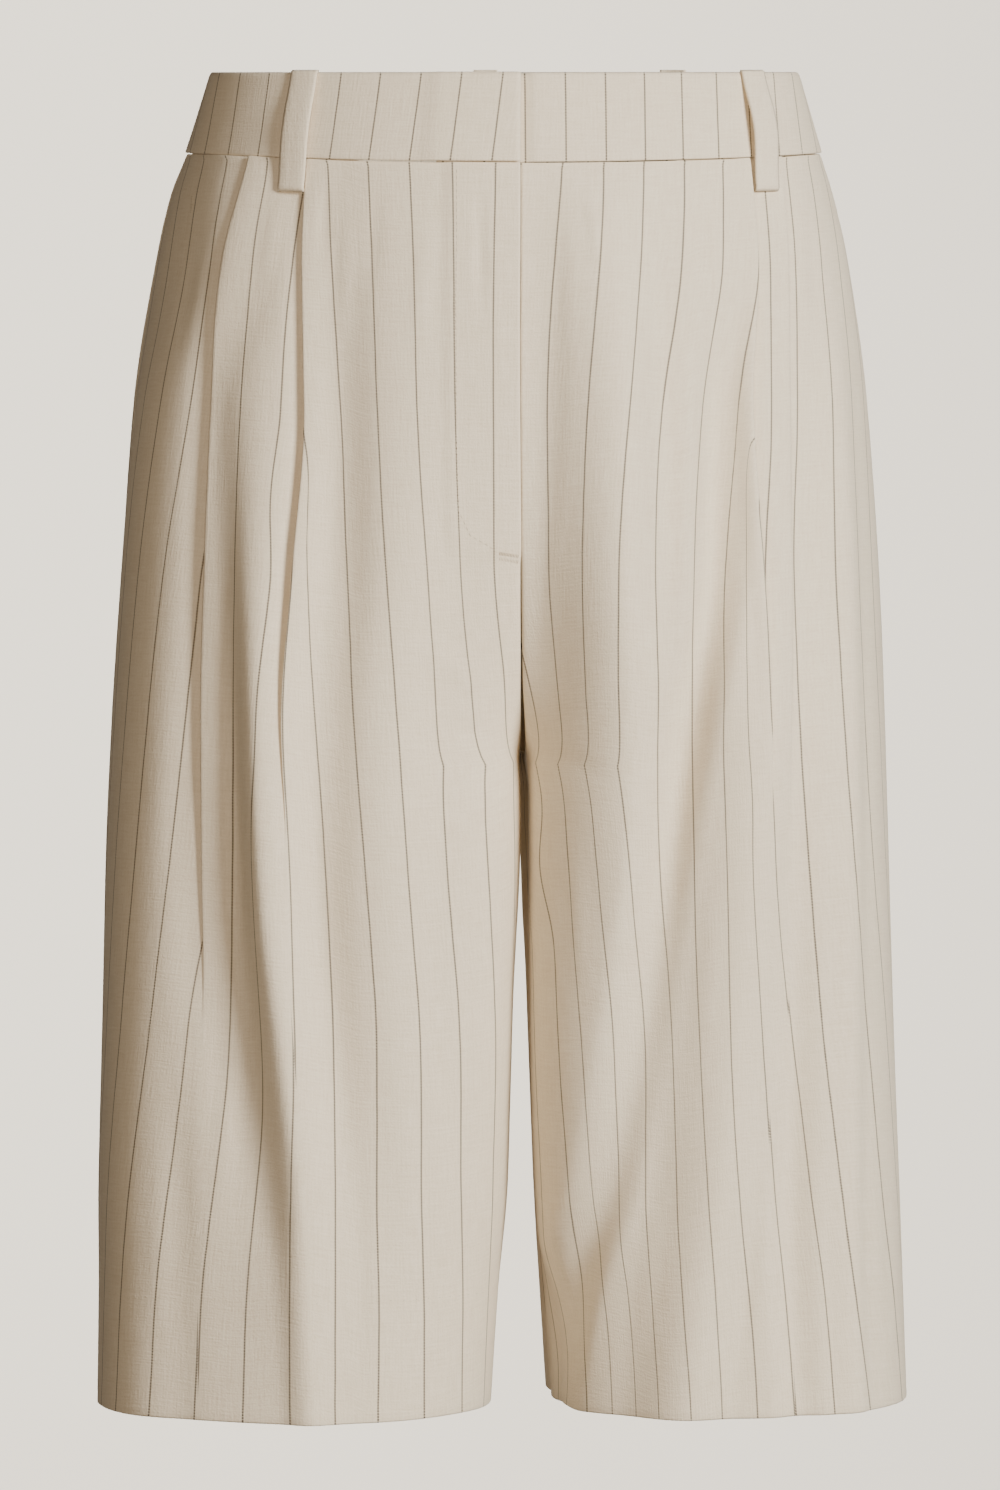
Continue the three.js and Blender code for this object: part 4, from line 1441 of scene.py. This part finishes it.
def math_node(tree, operation, a, b=0.0):
    return add_node(tree, "ShaderNodeMath", {0: a, 1: b}, operation=operation).outputs[0]


def weave(tree, place):
    warp = thread_noise(tree, place, THREAD, SLUB_LENGTH, 3)
    weft = thread_noise(tree, place, SLUB_LENGTH, THREAD, 11)
    grain = thread_noise(tree, place, THREAD, THREAD, 23)
    return math_node(tree, "ADD", math_node(tree, "ADD", warp, weft), grain)


def stripe_mask(tree, place, across, along):
    waver = thread_noise(tree, place, 60, 30, 41)
    waver = math_node(tree, "MULTIPLY", math_node(tree, "SUBTRACT", waver, 0.5), STRIPE_WAVER * 2)
    number = math_node(tree, "DIVIDE", math_node(tree, "ADD", across, waver), UV_SPACING)
    away = math_node(tree, "MULTIPLY", math_node(tree, "PINGPONG", number, 0.5), UV_SPACING)
    line = add_node(tree, "ShaderNodeMapRange", {0: away}, interpolation_type="SMOOTHSTEP")
    line.inputs["From Min"].default_value = STRIPE_WIDTH / 2 + STRIPE_SOFT
    line.inputs["From Max"].default_value = STRIPE_WIDTH / 2 - STRIPE_SOFT
    dash = math_node(tree, "PINGPONG", math_node(tree, "DIVIDE", along, STRIPE_DASH), 0.5)
    dots = add_node(tree, "ShaderNodeMapRange", {0: dash}, interpolation_type="SMOOTHSTEP")
    dots.inputs["From Min"].default_value = 0.08
    dots.inputs["From Max"].default_value = 0.3
    dots.inputs["To Min"].default_value = 0.25
    dots.inputs["To Max"].default_value = 1
    return math_node(tree, "MULTIPLY", line.outputs[0], dots.outputs[0])


def cloth_material(name, striped):
    material, tree, shader = new_material(name)
    place, across, along = millimetre_map(tree)
    threads = weave(tree, place)
    tone = add_node(tree, "ShaderNodeMapRange", {0: threads})
    tone.inputs["From Min"].default_value = 1.1
    tone.inputs["From Max"].default_value = 1.9
    cloth = add_node(tree, "ShaderNodeMix", {0: tone.outputs[0]}, data_type="RGBA")
    cloth.inputs[6].default_value = linear(CREAM_SHADE)
    cloth.inputs[7].default_value = linear(CREAM)
    colour = cloth.outputs[2]
    if striped:
        mask = stripe_mask(tree, place, across, along)
        dark = add_node(tree, "ShaderNodeMix", {0: mask, 6: colour}, data_type="RGBA")
        dark.inputs[7].default_value = linear(STRIPE)
        colour = dark.outputs[2]
    raised = add_node(tree, "ShaderNodeBump", {"Height": threads})
    raised.inputs["Strength"].default_value = 0.5
    raised.inputs["Distance"].default_value = 0.3 * MM
    tree.links.new(colour, shader.inputs["Base Color"])
    tree.links.new(raised.outputs[0], shader.inputs["Normal"])
    shader.inputs["Roughness"].default_value = 0.9
    shader.inputs["IOR"].default_value = CLOTH_IOR
    shader.inputs["Specular IOR Level"].default_value = 0.2
    shader.inputs["Sheen Weight"].default_value = 0.12
    shader.inputs["Sheen Roughness"].default_value = 0.5
    return material


def thread_material():
    """Polyester sewing thread: a shade darker than the cloth, with a little shine."""
    material, _, shader = new_material("polyester thread")
    shader.inputs["Base Color"].default_value = linear(THREAD_COLOUR)
    shader.inputs["Roughness"].default_value = 0.6
    return material


striped_cloth = cloth_material("pinstripe plain weave", True)
plain_cloth = cloth_material("plain weave", False)
thread = thread_material()
print("materials", striped_cloth.name, "and", plain_cloth.name, "and", thread.name)

# %% [markdown]
# Last, each sheet takes the material of its finish, moves with the root body, and hides the CAD
# solid it stands for.


def declare(piece, node, finish):
    piece.data.materials.append(striped_cloth if finish == "pinstripe_cloth" else plain_cloth)
    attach(piece, "root")
    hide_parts(node)


for name, piece in panels.items():
    band = bands["right" if "right" in name else "left"]
    stitches[name].data.materials.append(thread)
    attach(stitches[name], "root")
    declare(piece, name, "pinstripe_cloth")
for word, piece in bands.items():
    declare(piece, "waistband_" + word, "pinstripe_cloth")
declare(underlap, "fly_underlap", "plain_cloth")
for name, piece in loops.items():
    declare(piece, "belt_loop_" + name, "plain_cloth")
print("declared", len(panels) + len(bands) + len(loops) + 1, "sheets")
